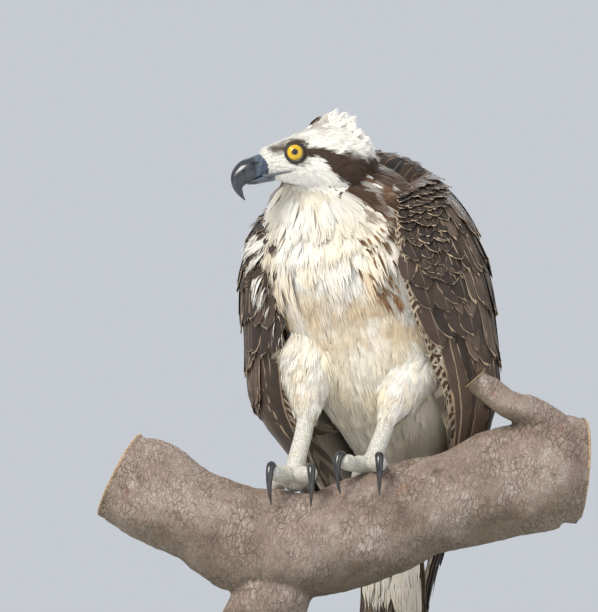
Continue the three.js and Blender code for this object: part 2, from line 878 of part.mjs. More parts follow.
function birdNodes() {
  const nodes = {};
  const trunkWhole = trunk();
  const trunkCut = trunk(GAP);
  const headCut = headCore(GAP);
  const thighCut = {};
  for (const side of ["left", "right"]) {
    thighCut[side] = leg(THIGHS[side], GAP, [6, 3]);
  }
  const [cutPoint, cutNormal] = NECK_CUT;
  const lower = halfSpace(cutPoint, cutNormal);
  const upper = halfSpace(
    cutPoint.clone().addScaledVector(cutNormal, GAP),
    cutNormal.clone().negate(),
  );
  const bibCut = joined(bib(GAP));
  nodes.torso = without(
    joined([trunkWhole, ...bib()]).intersect(lower),
    headCut,
    thighCut.left,
    thighCut.right,
  );
  nodes.neck = without(trunkWhole.intersect(upper), headCut);

  const upperCut = bill(BILL_UPPER, [0, 0.4], GAP);
  const lowerCut = bill(BILL_LOWER, [0, 0.6], GAP);
  nodes.bill_upper = bill(BILL_UPPER, [0, 0.4]);
  nodes.bill_lower = without(bill(BILL_LOWER, [0, 0.6]), upperCut);
  nodes.head = without(joined([headCore(), ...crest()]), upperCut, lowerCut);
  for (const [side, sign] of [["left", 1], ["right", -1]]) {
    const centre = eyeCentre(sign);
    nodes[`eye_${side}`] = ball(centre, EYE_RADIUS, 14);
    const socket = ball(centre, EYE_RADIUS + GAP, 14);
    nodes.head = nodes.head.add(lid(sign)).subtract(socket).subtract(mouthLine(sign));
    nodes.neck = without(nodes.neck, socket, lid(sign, GAP));
    nodes.bill_upper = nodes.bill_upper.subtract(nostril(sign));
  }

  const wingCuts = [];
  for (const [side, sign] of [["left", 1], ["right", -1]]) {
    nodes[`wing_${side}`] = without(
      wing(sign),
      trunkCut,
      bibCut,
      headCut,
      thighCut[side],
    );
    wingCuts.push(wingBody(sign, WING_ROOM, 1));
  }
  nodes.tail = without(tail(), trunkCut, ...wingCuts);

  const perchCut = perch(GAP);
  for (const side of ["left", "right"]) {
    const tarsusCut = leg(TARSI[side], GAP, [2, 2]);
    const palmCut = palm(side, GAP);
    nodes[`thigh_${side}`] = leg(THIGHS[side], 0, [6, 3]);
    nodes[`tarsus_${side}`] = without(
      leg(TARSI[side], 0, [2, 2]),
      thighCut[side],
      perchCut,
    );
    nodes[`foot_${side}`] = without(palm(side), tarsusCut, perchCut);
    const earlier = [];
    for (const made of TOES[side]) {
      const label = `${side}_${made.name}`;
      nodes[`toe_${label}`] = without(
        toe(side, made),
        palmCut,
        tarsusCut,
        perchCut,
        ...earlier,
      );
      earlier.push(toe(side, made, GAP));
      nodes[`talon_${label}`] = without(
        talon(side, made),
        toe(side, made, GAP),
        perchCut,
      );
    }
  }
  return nodes;
}

const FINISH = {
  head: "white",
  neck: "white",
  torso: "white",
  wing: "brown",
  tail: "barred",
  bill: "horn",
  talon: "horn",
  eye: "iris",
  thigh: "white",
  tarsus: "skin",
  foot: "skin",
  toe: "skin",
  perch: "bark",
  stand: "base",
};

const osprey = new THREE.Group();
osprey.position.set(-BASE_CENTRE[0], -BASE_CENTRE[1], FEET_ABOVE_FLOOR);
const solids = {
  ...birdNodes(),
  perch_branch: perch(),
  stand_base: standBase(),
  stand_rod: standRod(),
};
for (const [name, made] of Object.entries(solids)) {
  const finish = FINISH[name.split("_")[0]];
  const material = new THREE.MeshStandardMaterial({
    color: COLOURS[finish],
    roughness: finish === "horn" || finish === "iris" ? 0.3 : 0.85,
    metalness: 0,
  });
  const mesh = new THREE.Mesh(geometryOf(largest(made)), material);
  mesh.name = name;
  osprey.add(mesh);
}

export default osprey;
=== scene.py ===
"""A life-size osprey on a cut branch: the finish of every surface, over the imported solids."""

import math

import bmesh
import bpy
import numpy as np
from mathutils import Matrix, Vector
from mathutils.bvhtree import BVHTree


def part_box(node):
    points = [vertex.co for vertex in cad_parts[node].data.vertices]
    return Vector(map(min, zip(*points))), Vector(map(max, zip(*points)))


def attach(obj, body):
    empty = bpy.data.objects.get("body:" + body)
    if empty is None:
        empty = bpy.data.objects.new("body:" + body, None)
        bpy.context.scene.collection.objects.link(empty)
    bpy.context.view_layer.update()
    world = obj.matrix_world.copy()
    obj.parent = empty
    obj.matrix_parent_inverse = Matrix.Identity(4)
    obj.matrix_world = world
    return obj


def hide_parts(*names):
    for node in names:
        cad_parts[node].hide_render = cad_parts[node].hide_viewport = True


bl_info = {
    "name": "Osprey on a Perch",
    "version": (1, 0, 0),
    "blender": (4, 5, 0),
    "location": "View3D > Sidebar > Osprey",
    "description": "Builds a life-size osprey with its plumage, perch and display stand",
    "category": "Add Mesh",
}

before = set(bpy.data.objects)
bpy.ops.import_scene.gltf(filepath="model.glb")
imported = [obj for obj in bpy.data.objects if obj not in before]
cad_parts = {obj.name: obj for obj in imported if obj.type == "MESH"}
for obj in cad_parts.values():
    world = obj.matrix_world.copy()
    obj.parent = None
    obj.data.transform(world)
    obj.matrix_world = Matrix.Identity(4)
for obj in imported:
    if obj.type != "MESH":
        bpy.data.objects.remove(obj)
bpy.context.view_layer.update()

# Sizes below are in millimetres from the level of the feet on the branch, until to_metres.
MM = 0.001
BASE_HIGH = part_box("stand_base")[1]
FEET_ABOVE_FLOOR = 212.0
BASE_CENTRE = (-10.0, 50.0)
PLACE = np.array([-BASE_CENTRE[0], -BASE_CENTRE[1], FEET_ABOVE_FLOOR])
SEED = 7
SIDES = (("left", 1), ("right", -1))

# How far the skin lies under the ends of the feathers, and the cells that bodies are melted in.
COAT_DEPTH, HEAD_COAT, THIGH_COAT = 4.0, 2.4, 3.0
SKIN_CELL, FOOT_CELL, BARK_CELL = 2.4, 0.95, 1.9
# The side of one feather's own patch on the bake map.
BAKE_PATCH = 0.003
# Where a vane's points lie across it, closer together towards its edges.
ACROSS = np.array([-1, -0.93, -0.78, -0.5, -0.2, 0, 0.2, 0.5, 0.78, 0.93, 1])
# Loose strands take the light from above, whichever way they lie.
LOCK_SHEEN = np.array([-0.15, -0.35, 0.6])
LOCK_STATIONS = 7
# How far apart two places are taken to find a surface's direction, as a share of its length.
STEP = 0.01
DOME_RINGS = 5
SHARP_EDGE = math.radians(35)

# The body's axes: turned from the camera by the yaw.
BODY_YAW = math.radians(25)
BODY_PLACE = (0.0, 34.0)
REAR_SWAY, SWAY_TOP, SWAY_SPAN = 34.0, 40.0, 220.0
FORWARD = np.array([-math.sin(BODY_YAW), -math.cos(BODY_YAW), 0.0])
LEFT = np.array([math.cos(BODY_YAW), -math.sin(BODY_YAW), 0.0])

# Trunk from the tail root to the nape: x, y, z, half width, depth in front, depth behind.
TRUNK = [
    (27, 126, -50, 12, 5, 5),
    (29, 112, -8, 26, 14, 11),
    (29, 94, 32, 42, 28, 20),
    (22, 72, 70, 57, 44, 36),
    (9, 50, 112, 69, 56, 50),
    (-2, 36, 154, 77, 61, 58),
    (-14, 24, 194, 81, 65, 63),
    (-25, 13, 230, 73, 60, 62),
    (-36, -3, 254, 51, 45, 46),
    (-46, -22, 270, 27, 24, 22),
]
MANTLE = (16, 50, 214)
MANTLE_RADII = (61, 51, 79)

HEAD_YAW, HEAD_DIP = math.radians(12), math.radians(10)
HEAD_CENTRE = np.array([-67.0, -30.0, 283.0])
HEAD_ALONG = np.array(
    [
        -math.cos(HEAD_YAW) * math.cos(HEAD_DIP),
        -math.sin(HEAD_YAW) * math.cos(HEAD_DIP),
        -math.sin(HEAD_DIP),
    ]
)
HEAD_LEFT = np.array([math.sin(HEAD_YAW), -math.cos(HEAD_YAW), 0.0])
HEAD_UP = np.cross(HEAD_ALONG, HEAD_LEFT)
# ahead, up, half width, depth below, depth above
HEAD = [
    (-62, -20, 15, 16, 14),
    (-50, -15, 24, 34, 25),
    (-34, -13, 26, 34, 29),
    (-17, -10, 24, 30, 26),
    (0, -9, 20.5, 25, 21),
    (15, -9, 15.5, 20, 17),
    (28, -10, 10.5, 14.5, 13.5),
]
EYE_PLACE = (0.5, 13.0, -7.0)
EYE_RADIUS = 9.0
# The ball, the cornea and the iris, as shares of the eye's radius.
BALL_SHARE, CORNEA_SHARE, IRIS_SHARE = 0.965, 0.995, 0.75
BILL_UPPER = [
    (24, -12, 9.5, 10, 11),
    (34, -14, 9, 9, 10.5),
    (42, -15.5, 7.8, 10.8, 10),
    (49, -20, 5.5, 9, 7.5),
    (51.5, -27, 3.2, 5, 4),
    (49.5, -33.5, 1.7, 2.2, 2.2),
    (47, -38.5, 0.5, 0.6, 0.6),
]
BILL_LOWER = [
    (20, -21.8, 8, 4.2, 3),
    (30, -23.2, 6.6, 3.2, 2.6),
    (37, -24.2, 5, 2.4, 2.2),
    (41, -24.6, 2.8, 1.4, 1.4),
]

# Wing surface for the left side: ahead, left and up from the shoulder to the tip.
WING_FRONT = [
    (40, 48, 250),
    (66, 60, 215),
    (60, 66, 170),
    (30, 70, 120),
    (-8, 74, 70),
    (-54, 60, 10),
    (-112, 24, -78),
    (-142, 10, -176),
]
WING_RIDGE = [
    (-8, 58, 274),
    (10, 93, 234),
    (6, 112, 185),
    (-8, 114, 130),
    (-30, 106, 72),
    (-75, 66, 5),
    (-122, 27, -80),
    (-150, 12, -181),
]
WING_BACK = [
    (-48, 22, 272),
    (-62, 30, 225),
    (-76, 32, 175),
    (-90, 30, 120),
    (-102, 28, 62),
    (-118, 24, -5),
    (-140, 12, -86),
    (-154, 6, -182),
]
WING_DEPTH = [(15,), (22,), (20,), (15,), (11,), (7,), (4.5,), (2.5,)]
RIGHT_DROOP = (12, 7)
DROOP_AT, DROOP_WIDTH = 0.64, 0.15
WING_BODY_END = 0.84
EDGE_REACH = 0.08

# Tail: ahead, left, up and half width from its root to its tip.
TAIL = [
    (-52, 0, 66, 17),
    (-66, 0, 34, 23),
    (-84, 0, -20, 27),
    (-102, 0, -78, 30),
    (-118, 0, -132, 33),
    (-125, 0, -156, 34),
]
TAIL_CROWN = 7.0
TAIL_BODY_END = 0.55

# Thighs and shanks: x, y, z, half width, depth in front, depth behind.
THIGHS = {
    "left": [
        (36, 30, 134, 28, 24, 22),
        (33, 18, 108, 28, 28, 26),
        (26, 9, 80, 21, 20, 20),
        (16, 5, 58, 11.5, 11, 11),
    ],
    "right": [
        (-44, 42, 134, 28, 24, 22),
        (-50, 26, 106, 26, 28, 26),
        (-53, 16, 80, 19, 19, 19),
        (-53, 11, 60, 11, 10.5, 10.5),
    ],
}
TARSI = {
    "left": [(17, 7, 62, 8, 8, 8), (11, 4, 44, 7.5, 7.5, 7.5), (5, 1, 28, 8, 8, 8), (2, 0, 19, 9, 9, 9)],
    "right": [
        (-53, 13, 64, 8, 8, 8),
        (-57, 7, 42, 7.5, 7.5, 7.5),
        (-62, 1, 22, 8, 8, 8),
        (-64, -1, 11, 9, 9, 9),
    ],
}
# Toes: places from the palm's centre; the talon takes over between the last two.
PALMS = {"left": (1, -2, 15), "right": (-64, -2, 6)}
PALM_RADIUS, TOE_RADIUS, TALON_RADIUS = 12.0, 6.6, 3.7
TOES = {
    "left": {
        "inner": [(0, 0, 0), (-11, -14, 1), (-20, -27, 1), (-25, -35, 3)],
        "middle": [(0, 0, 0), (3, -15, 1), (5, -29, 0), (5, -38, 2)],
        "outer": [(0, 0, 0), (10, 13, -1), (15, 25, -7), (17, 34, -15)],
        "hind": [(0, 0, 0), (-7, 13, -1), (-10, 24, -7), (-11, 32, -15)],
    },
    "right": {
        "inner": [(0, 0, 0), (7, -14, 1), (12, -28, 0), (13, -37, 2)],
        "middle": [(0, 0, 0), (-8, -14, 1), (-15, -27, 1), (-18, -36, 3)],
        "outer": [(0, 0, 0), (-10, 13, -1), (-15, 25, -7), (-17, 34, -15)],
        "hind": [(0, 0, 0), (7, 13, -1), (10, 24, -7), (11, 32, -15)],
    },
}
# Branch, its fork and its stub: x, y, z and radius.
PERCH = [
    (-212, 6, 10, 39),
    (-184, 4, -5, 44),
    (-144, 0, -27, 42),
    (-108, -2, -45, 45),
    (-60, -2, -51, 47),
    (-17, -2, -43, 46),
    (26, -2, -25, 45),
    (68, -2, -13, 44),
    (110, 0, 0, 47),
    (152, 2, 12, 51),
    (178, 4, 11, 44),
]
FORK = [
    (-66, -2, -46, 34),
    (-80, -1, -84, 36),
    (-90, 2, -112, 35),
    (-95, 4, -134, 34),
    (-99, 5, -156, 34),
]
FORK_CUT = -138.0
COLLAR_HEIGHT = 4.0
STUB = [
    (158, -10, 38, 22),
    (138, -20, 56, 17),
    (112, -29, 68, 14),
    (92, -33, 82, 12.5),
    (86, -34, 88, 13),
]


# Numbers and curves.


def unit(v):
    """The same directions, one long."""
    return v / np.maximum(np.linalg.norm(v, axis=-1, keepdims=True), 1e-9)


def smooth(x, low, high):
    """Goes smoothly from 0 to 1 between two values."""
    t = np.clip((x - low) / (high - low), 0, 1)
    return t * t * (3 - 2 * t)


def mix(a, b, t):
    """Goes straight from one number to another."""
    return a + (b - a) * t


def wrap_turn(angle):
    """The same turn, counted from -pi to pi."""
    return (angle + math.pi) % (2 * math.pi) - math.pi


def bake_place(across, down):
    """Places for feathers on the bake map, inside its margins."""
    return 0.04 + 0.92 * np.stack([across, down], -1)


def blend(colour_a, colour_b, t):
    """Mixes two colours, each one colour or a row of them, by an array of shares."""
    return np.asarray(colour_a) * (1 - t[..., None]) + np.asarray(colour_b) * t[..., None]


def spline(rows, s):
    """Reads a smooth curve through rows of numbers, with s from 0 to 1."""
    rows = np.asarray(rows, float)
    last = len(rows) - 1
    x = np.clip(np.asarray(s, float), 0, 1) * last
    i = np.minimum(x.astype(int), last - 1)
    t = (x - i)[..., None]
    a, b = rows[np.clip(i - 1, 0, last)], rows[i]
    c, d = rows[i + 1], rows[np.clip(i + 2, 0, last)]
    cubic = (3 * b - a - 3 * c + d) * t**3
    return 0.5 * (2 * b + (c - a) * t + (2 * a - 5 * b + 4 * c - d) * t**2 + cubic)


def lattice(points, scale, seed):
    """Smooth value noise from 0 to 1 at points, with features about scale across."""
    p = np.asarray(points, float) / scale
    base = np.floor(p).astype(np.int64)
    f = p - base
    f = f * f * (3 - 2 * f)
    total = np.zeros(p.shape[:-1])
    for corner in range(8):
        pick = np.array([corner & 1, corner >> 1 & 1, corner >> 2 & 1])
        cell = base + pick
        mixed = cell[..., 0] * 73856093 ^ cell[..., 1] * 19349663 ^ cell[..., 2] * 83492791
        mixed = (mixed ^ seed * 2654435761) & 0xFFFFFFFF
        mixed = (mixed * 1103515245 + 12345 ^ mixed >> 13) & 0xFFFFFFFF
        value = (mixed >> 8 & 0xFFFF) / 65535.0
        weight = np.prod(np.where(pick == 1, f, 1 - f), axis=-1)
        total += value * weight
    return total


def body_point(ahead, left, up):
    """Places from the bird's own frame: forward, to its left and up."""
    ahead, left, up = np.broadcast_arrays(ahead, left, up)
    sway = np.where(up < SWAY_TOP, -REAR_SWAY * (SWAY_TOP - up) / SWAY_SPAN, 0)
    start = np.stack([np.full(up.shape, BODY_PLACE[0]), np.full(up.shape, BODY_PLACE[1]), up], -1)
    return start + ahead[..., None] * FORWARD + (left + sway)[..., None] * LEFT


def head_point(ahead, left, up):
    """Places from the head's own frame: ahead, to its left and up."""
    ahead, left, up = np.broadcast_arrays(np.asarray(ahead, float), left, up)
    along = ahead[..., None] * HEAD_ALONG + left[..., None] * HEAD_LEFT
    return HEAD_CENTRE + along + up[..., None] * HEAD_UP


def head_place(points):
    """Where points lie in the head's frame: ahead, left and up."""
    rel = points - HEAD_CENTRE
    return rel @ HEAD_ALONG, rel @ HEAD_LEFT, rel @ HEAD_UP


def head_read(ahead, column):
    """One column of the head's table at places ahead of the head's centre."""
    table = np.asarray(HEAD, float)
    return np.interp(ahead, table[:, 0], table[:, column])


def head_rows(rows):
    """Turns rows in the head's frame into rows of a loft."""
    table = np.asarray(rows, float)
    return np.column_stack([head_point(table[:, 0], 0.0, table[:, 1]), table[:, 2:]])


def trunk_share(up):
    """How far along the trunk's path a height lies, from 0 to 1."""
    return np.interp(up, [row[2] for row in TRUNK], np.linspace(0, 1, len(TRUNK)))


def to_metres(points):
    """From millimetres over the feet to the frame's own metres."""
    return (np.asarray(points) + PLACE) * MM


# Surfaces that the feathers are set on.


class Loft:
    """Rings round a path, read by s along it and by an angle round it."""

    def __init__(self, rows, side, grow=0.0, round_rows=False):
        rows = np.asarray(rows, float)
        self.rows = np.column_stack([rows, rows[:, 3], rows[:, 3]]) if round_rows else rows
        self.side = np.asarray(side, float)
        self.grow = grow

    def frame_at(self, s):
        """Directions along the path, across it and to its front."""
        ahead = spline(self.rows, np.minimum(s + STEP, 1))[..., :3]
        along = unit(ahead - spline(self.rows, np.maximum(s - STEP, 0))[..., :3])
        across = unit(self.side - (along @ self.side)[..., None] * along)
        return along, across, np.cross(across, along)

    def point(self, s, angle, over=0.0, share=1.0, shift=0.0):
        """Places on the rings, with their size and their shift along the path if asked for."""
        row = spline(self.rows, s)
        along, across, front = self.frame_at(s)
        extra = self.grow + over
        depth = np.where(np.cos(angle) > 0, row[..., 4], row[..., 5]) + extra
        width = (row[..., 3] + extra) * share * np.sin(angle)
        place = row[..., :3] + across * width[..., None]
        place = place + front * (depth * share * np.cos(angle))[..., None]
        return place + along * np.asarray(shift)[..., None]

    def mesh(self, around, steps, domes=(0.0, 0.0)):
        """Points and faces of the closed body, with its ends flat or rounded by the domes' heights."""

        def end(height):
            turns = range(1, DOME_RINGS + 1) if height else (DOME_RINGS,)
            for a in (0.5 * math.pi * k / DOME_RINGS for k in turns):
                yield math.cos(a) if height else 0.0, height * math.sin(a)

        rings = [(0.0, share, -shift) for share, shift in end(domes[0])][::-1]
        rings += [(i / steps, 1.0, 0.0) for i in range(steps + 1)]
        rings = np.array(rings + [(1.0, share, shift) for share, shift in end(domes[1])])
        s = np.repeat(rings[:, :1], around, 1)
        share = np.maximum(np.repeat(rings[:, 1:2], around, 1), 0.01)
        shift = np.repeat(rings[:, 2:], around, 1)
        angle = np.tile(np.linspace(0, 2 * math.pi, around, endpoint=False), (len(rings), 1))
        grid = self.point(s, angle, 0.0, share, shift)
        return grid_mesh(grid, wrap=True, ends=True)


def grid_mesh(grid, wrap=False, ends=False):
    """Points and faces of a grid of places, closed round its rows if wrap is true."""
    rows, columns = grid.shape[:2]
    index = np.arange(rows * columns).reshape(rows, columns)
    nxt = np.roll(index, -1, axis=1) if wrap else index[:, 1:]
    here = index if wrap else index[:, :-1]
    quads = np.stack([here[:-1], nxt[:-1], nxt[1:], here[1:]], -1).reshape(-1, 4)
    faces = [tuple(q) for q in quads.tolist()]
    if ends:
        faces.append(tuple(index[0][::-1].tolist()))
        faces.append(tuple(index[-1].tolist()))
    return grid.reshape(-1, 3), faces


def ellipsoid_mesh(centre, radii, around=40, rings=24):
    """Points and faces of a closed ball with three radii."""
    v = np.linspace(0.02, math.pi - 0.02, rings)
    a = np.linspace(0, 2 * math.pi, around, endpoint=False)
    v, a = np.meshgrid(v, a, indexing="ij")
    shape = np.stack([np.sin(v) * np.cos(a), np.sin(v) * np.sin(a), np.cos(v)], -1)
    return grid_mesh(np.asarray(centre) + shape * np.asarray(radii), wrap=True, ends=True)


def wing_place(side, s, t):
    """Wing surface: s from the shoulder to the tip, t from the front edge to the back edge.
    Past an edge it goes straight on for a short way."""
    front, ridge, back = (spline(rows, s) for rows in (WING_FRONT, WING_RIDGE, WING_BACK))
    droop = np.exp(-(((s - DROOP_AT) / DROOP_WIDTH) ** 2)) if side < 0 else np.zeros(np.shape(s))
    pull = 2 * ridge - (front + back) / 2
    t = np.asarray(t)[..., None]
    edge = np.clip(t, 0, 1)
    before, after = mix(front, pull, edge), mix(pull, back, edge)
    row = mix(before, after, edge) + 2 * (after - before) * EDGE_REACH * np.tanh((t - edge) / EDGE_REACH)
    ahead = row[..., 0] + droop * RIGHT_DROOP[0]
    out = side * (row[..., 1] + droop * RIGHT_DROOP[1])
    return body_point(ahead, out, row[..., 2])


def wing_normal(side, s, t):
    """Which way the outer face of the wing looks."""
    down = wing_place(side, np.minimum(s + STEP, 1), t) - wing_place(side, np.maximum(s - STEP, 0), t)
    across = wing_place(side, s, t + STEP) - wing_place(side, s, t - STEP)
    return unit(np.cross(across, down) * -side)


def wing_outer(side):
    """The wing's outer face, with heights counted away from the body."""

    def surface(s, t, over):
        lift = (np.asarray(over) - 1.5)[..., None]
        return wing_place(side, s, t) + wing_normal(side, s, t) * lift

    return surface


def wing_thickness(s, t):
    """How thick the folded wing is under its outer face."""
    bulge = np.sqrt(np.clip(np.sin(math.pi * np.clip(t, 0, 1)), 0, 1))
    return 1 + spline(WING_DEPTH, s)[..., 0] * bulge


def wing_inner(side):
    """The underside of the wing, with heights counted away from it."""

    def surface(s, t, over):
        sink = (wing_thickness(s, t) + 1.5 + np.asarray(over))[..., None]
        return wing_place(side, s, t) - wing_normal(side, s, t) * sink

    return surface


def mantle_surface(s, t, over):
    """The rounded back: s from behind the neck down the back, t from its right side to its left."""
    down, turn = np.radians(mix(-45.0, 140.0, s)), np.radians(mix(-90.0, 90.0, np.asarray(t)))
    lift = 7.0 * smooth(-turn, -0.2, 0.35) * (1 - smooth(-turn, 0.9, 1.4)) * (1 - smooth(down, 0.1, 0.8))
    spine = np.cos(down)[..., None] * np.array([0, 0, 1.0]) - np.sin(down)[..., None] * FORWARD
    ray = np.cos(turn)[..., None] * spine + np.sin(turn)[..., None] * LEFT
    radii = np.array(MANTLE_RADII, float)
    return np.array(MANTLE) + ray * radii + unit(ray / radii) * (np.asarray(over) - 3.0 + lift)[..., None]


def back_surface(s, t, over):
    """The lower back between the wings, from under the mantle down to the tail."""
    turn = math.pi + mix(-1.25, 1.25, np.asarray(t))
    return trunk_loft(0.0).point(mix(0.66, 0.06, np.asarray(s)), turn, over)


def tail_surface(s, t, over):
    """The upper face of the tail: s from its root, t from its right side to its left."""
    row = spline(TAIL, s)
    share = 2 * np.asarray(t) - 1
    arch = TAIL_CROWN * share**2
    ahead = row[..., 0] + arch - np.asarray(over) * 0.95
    return body_point(ahead, row[..., 1] + share * row[..., 3], row[..., 2] - np.asarray(over) * 0.3)


def closed_sheet(surface, rows, columns, s_end, outer, inner, low=0.0, high=1.0):
    """A closed slab between two heights over a surface."""
    s, t = np.meshgrid(np.linspace(0, s_end, rows), np.linspace(low, high, columns), indexing="ij")
    top = surface(s, t, outer(s, t))
    bottom = surface(s, t, -inner(s, t))
    ring = np.concatenate([top, bottom[:, ::-1]], axis=1)
    return grid_mesh(ring, wrap=True, ends=True)


# Meshes and objects.


def deselect():
    """Nothing stays selected."""
    for thing in bpy.context.selected_objects:
        thing.select_set(False)


def only(thing):
    """One object is selected and active."""
    deselect()
    thing.select_set(True)
    bpy.context.view_layer.objects.active = thing


def linked(name, data):
    """An object for some data, in the scene."""
    thing = bpy.data.objects.new(name, data)
    bpy.context.scene.collection.objects.link(thing)
    return thing


def primitive(kind, name, **settings):
    """One of Blender's basic bodies, under a name."""
    deselect()
    getattr(bpy.ops.mesh, f"primitive_{kind}_add")(**settings)
    thing = bpy.context.object
    thing.name = name
    return thing


def new_object(name, points, faces):
    """An object from points in millimetres and faces."""
    mesh = bpy.data.meshes.new(name)
    mesh.from_pydata(to_metres(points).tolist(), [], faces)
    mesh.update()
    return linked(name, mesh)


def sheet_triangles(count, rows, columns):
    """Triangles of many grids of points, all alike and one after another."""
    index = np.arange(count * rows * columns).reshape(count, rows, columns)
    a, b = index[:, :-1, :-1], index[:, :-1, 1:]
    c, d = index[:, 1:, 1:], index[:, 1:, :-1]
    halves = [np.stack([a, b, c], -1).reshape(-1, 3), np.stack([a, c, d], -1).reshape(-1, 3)]
    return np.concatenate(halves)


def fast_mesh(name, points, triangles, uvs, colours, normals=None):
    """A mesh of many small pieces straight from arrays. Points are in millimetres."""
    mesh = bpy.data.meshes.new(name)
    points = points.reshape(-1, 3)
    count, faces = len(points), len(triangles)
    if normals is not None:
        normals = normals.reshape(-1, 3)
        a, b, c = (points[triangles[:, k]] for k in range(3))
        inward = np.sum(np.cross(b - a, c - a) * normals[triangles[:, 0]], axis=1) < 0
        triangles = np.where(inward[:, None], triangles[:, ::-1], triangles)
    mesh.vertices.add(count)
    mesh.vertices.foreach_set("co", to_metres(points).astype(np.float32).ravel())
    mesh.loops.add(faces * 3)
    mesh.loops.foreach_set("vertex_index", triangles.astype(np.int32).ravel())
    mesh.polygons.add(faces)
    mesh.polygons.foreach_set("loop_start", np.arange(0, faces * 3, 3, dtype=np.int32))
    mesh.polygons.foreach_set("use_smooth", np.ones(faces, bool))
    corner = triangles.ravel()
    for label, uv in uvs.items():
        places = np.clip(uv.reshape(-1, 2), 0, 1)[corner]
        mesh.uv_layers.new(name=label).uv.foreach_set("vector", places.astype(np.float32).ravel())
    for label, colour in colours.items():
        paint(mesh, label, np.clip(colour.reshape(-1, 3), 0, 1))
    mesh.update()
    mesh.validate()
    if normals is not None:
        mesh.normals_split_custom_set_from_vertices(unit(normals).tolist())
    return linked(name, mesh)


def paint(mesh, label, colours):
    """Gives each of a mesh's points a colour, under a name that a material reads."""
    layer = mesh.color_attributes.new(label, "FLOAT_COLOR", "POINT")
    full = np.ones((len(mesh.vertices), 4), np.float32)
    full[:, : colours.shape[1]] = colours
    layer.data.foreach_set("color", full.ravel())


def places_of(thing):
    """The object's points, in millimetres from the level of the feet."""
    co = np.zeros(len(thing.data.vertices) * 3, np.float32)
    thing.data.vertices.foreach_get("co", co)
    return co.reshape(-1, 3) / MM - PLACE


def apply_modifier(thing, kind, **settings):
    """Adds one modifier and makes it final."""
    only(thing)
    made = thing.modifiers.new(kind.title(), kind)
    for key, value in settings.items():
        setattr(made, key, value)
    bpy.ops.object.modifier_apply(modifier=made.name)


def smooth_shading(thing):
    """Shades every face of the object smoothly."""
    thing.data.polygons.foreach_set("use_smooth", np.ones(len(thing.data.polygons), bool))
    thing.data.update()


def merged(name, parts):
    """One object from several bodies' points and faces."""
    points, faces, start = [], [], 0
    for body_points, body_faces in parts:
        points.append(body_points)
        faces += [tuple(i + start for i in face) for face in body_faces]
        start += len(body_points)
    return new_object(name, np.concatenate(points), faces)


def fused(name, parts, cell, rounds, factor=0.5):
    """Melts several closed bodies into one smooth skin."""
    thing = merged(name, parts)
    only(thing)
    thing.data.remesh_voxel_size = cell * MM
    thing.data.remesh_voxel_adaptivity = 0
    bpy.ops.object.voxel_remesh()
    apply_modifier(thing, "SMOOTH", factor=factor, iterations=rounds)
    smooth_shading(thing)
    return thing


def finish_piece(thing, material, slot, *nodes):
    """Gives a piece its material, hangs it on what it rides on and hides the solids that it stands for."""
    thing.data.materials.clear()
    thing.data.materials.append(material)
    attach(thing, "root")
    if nodes:
        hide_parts(*nodes)
    return thing


# Materials. Each function wires one finish.


class Nodes:
    """A short way to write a material's node tree."""

    def __init__(self, name, **shader):
        self.material = bpy.data.materials.new(name)
        self.material.use_nodes = True
        self.tree = self.material.node_tree
        self.shader = self.tree.nodes["Principled BSDF"]
        for key, value in shader.items():
            self.shader.inputs[key.replace("_", " ")].default_value = value

    def add(self, kind, inputs=None, **settings):
        node = self.tree.nodes.new("ShaderNode" + kind)
        for key, value in settings.items():
            setattr(node, key, value)
        for key, value in (inputs or {}).items():
            self.put(node.inputs[key], value)
        return node

    def put(self, socket, value):
        if isinstance(value, bpy.types.NodeSocket):
            self.tree.links.new(value, socket)
        else:
            socket.default_value = value

    def set(self, name, value):
        self.put(self.shader.inputs[name], value)

    def math(self, operation, a, b=0.0, c=0.0):
        return self.add("Math", {0: a, 1: b, 2: c}, operation=operation).outputs[0]

    def step(self, value, low, high):
        """Goes smoothly from 0 to 1 between two values."""
        node = self.add("MapRange", {"Value": value, "From Min": low, "From Max": high})
        node.interpolation_type = "SMOOTHSTEP"
        return node.outputs[0]

    def mix(self, share, a, b, kind="MIX"):
        node = self.add("Mix", data_type="RGBA", blend_type=kind)
        self.put(node.inputs[0], share)
        self.put(node.inputs[6], a)
        self.put(node.inputs[7], b)
        return node.outputs[2]

    def ramp(self, value, stops):
        node = self.add("ValToRGB", {"Fac": value})
        band = node.color_ramp
        while len(band.elements) < len(stops):
            band.elements.new(0.5)
        for element, (place, colour) in zip(band.elements, stops):
            element.position = place
            element.color = (*colour, 1)
        return node.outputs[0]

    def place(self, stretch=(1, 1, 1)):
        """Where each spot lies on the object, in metres."""
        where = self.add("TexCoord").outputs["Object"]
        return self.add("Mapping", {"Vector": where, "Scale": stretch}).outputs[0]

    def attribute(self, name, output="Color"):
        return self.add("Attribute", attribute_name=name).outputs[output]

    def channels(self, name):
        """The three numbers that a colour attribute carries."""
        return self.add("SeparateColor", {0: self.attribute(name)}).outputs[:3]

    def times(self, colour, shade):
        """A colour made darker or lighter by one number."""
        grey = self.add("CombineColor", {0: shade, 1: shade, 2: shade}).outputs[0]
        return self.mix(1.0, colour, grey, "MULTIPLY")

    def noise(self, where, scale, detail=4.0, roughness=0.55):
        inputs = {"Vector": where, "Scale": scale, "Detail": detail, "Roughness": roughness}
        return self.add("TexNoise", inputs).outputs["Fac"]

    def voronoi(self, where, scale, feature="DISTANCE_TO_EDGE", output="Distance"):
        node = self.add("TexVoronoi", {"Vector": where, "Scale": scale}, feature=feature)
        return node.outputs[output]

    def bump(self, height, strength, distance, below=None):
        inputs = {"Height": height, "Strength": strength, "Distance": distance}
        if below is not None:
            inputs["Normal"] = below
        return self.add("Bump", inputs).outputs[0]


def rgba(colour):
    """The colour with full cover, as a material takes it."""
    return (*colour, 1.0)


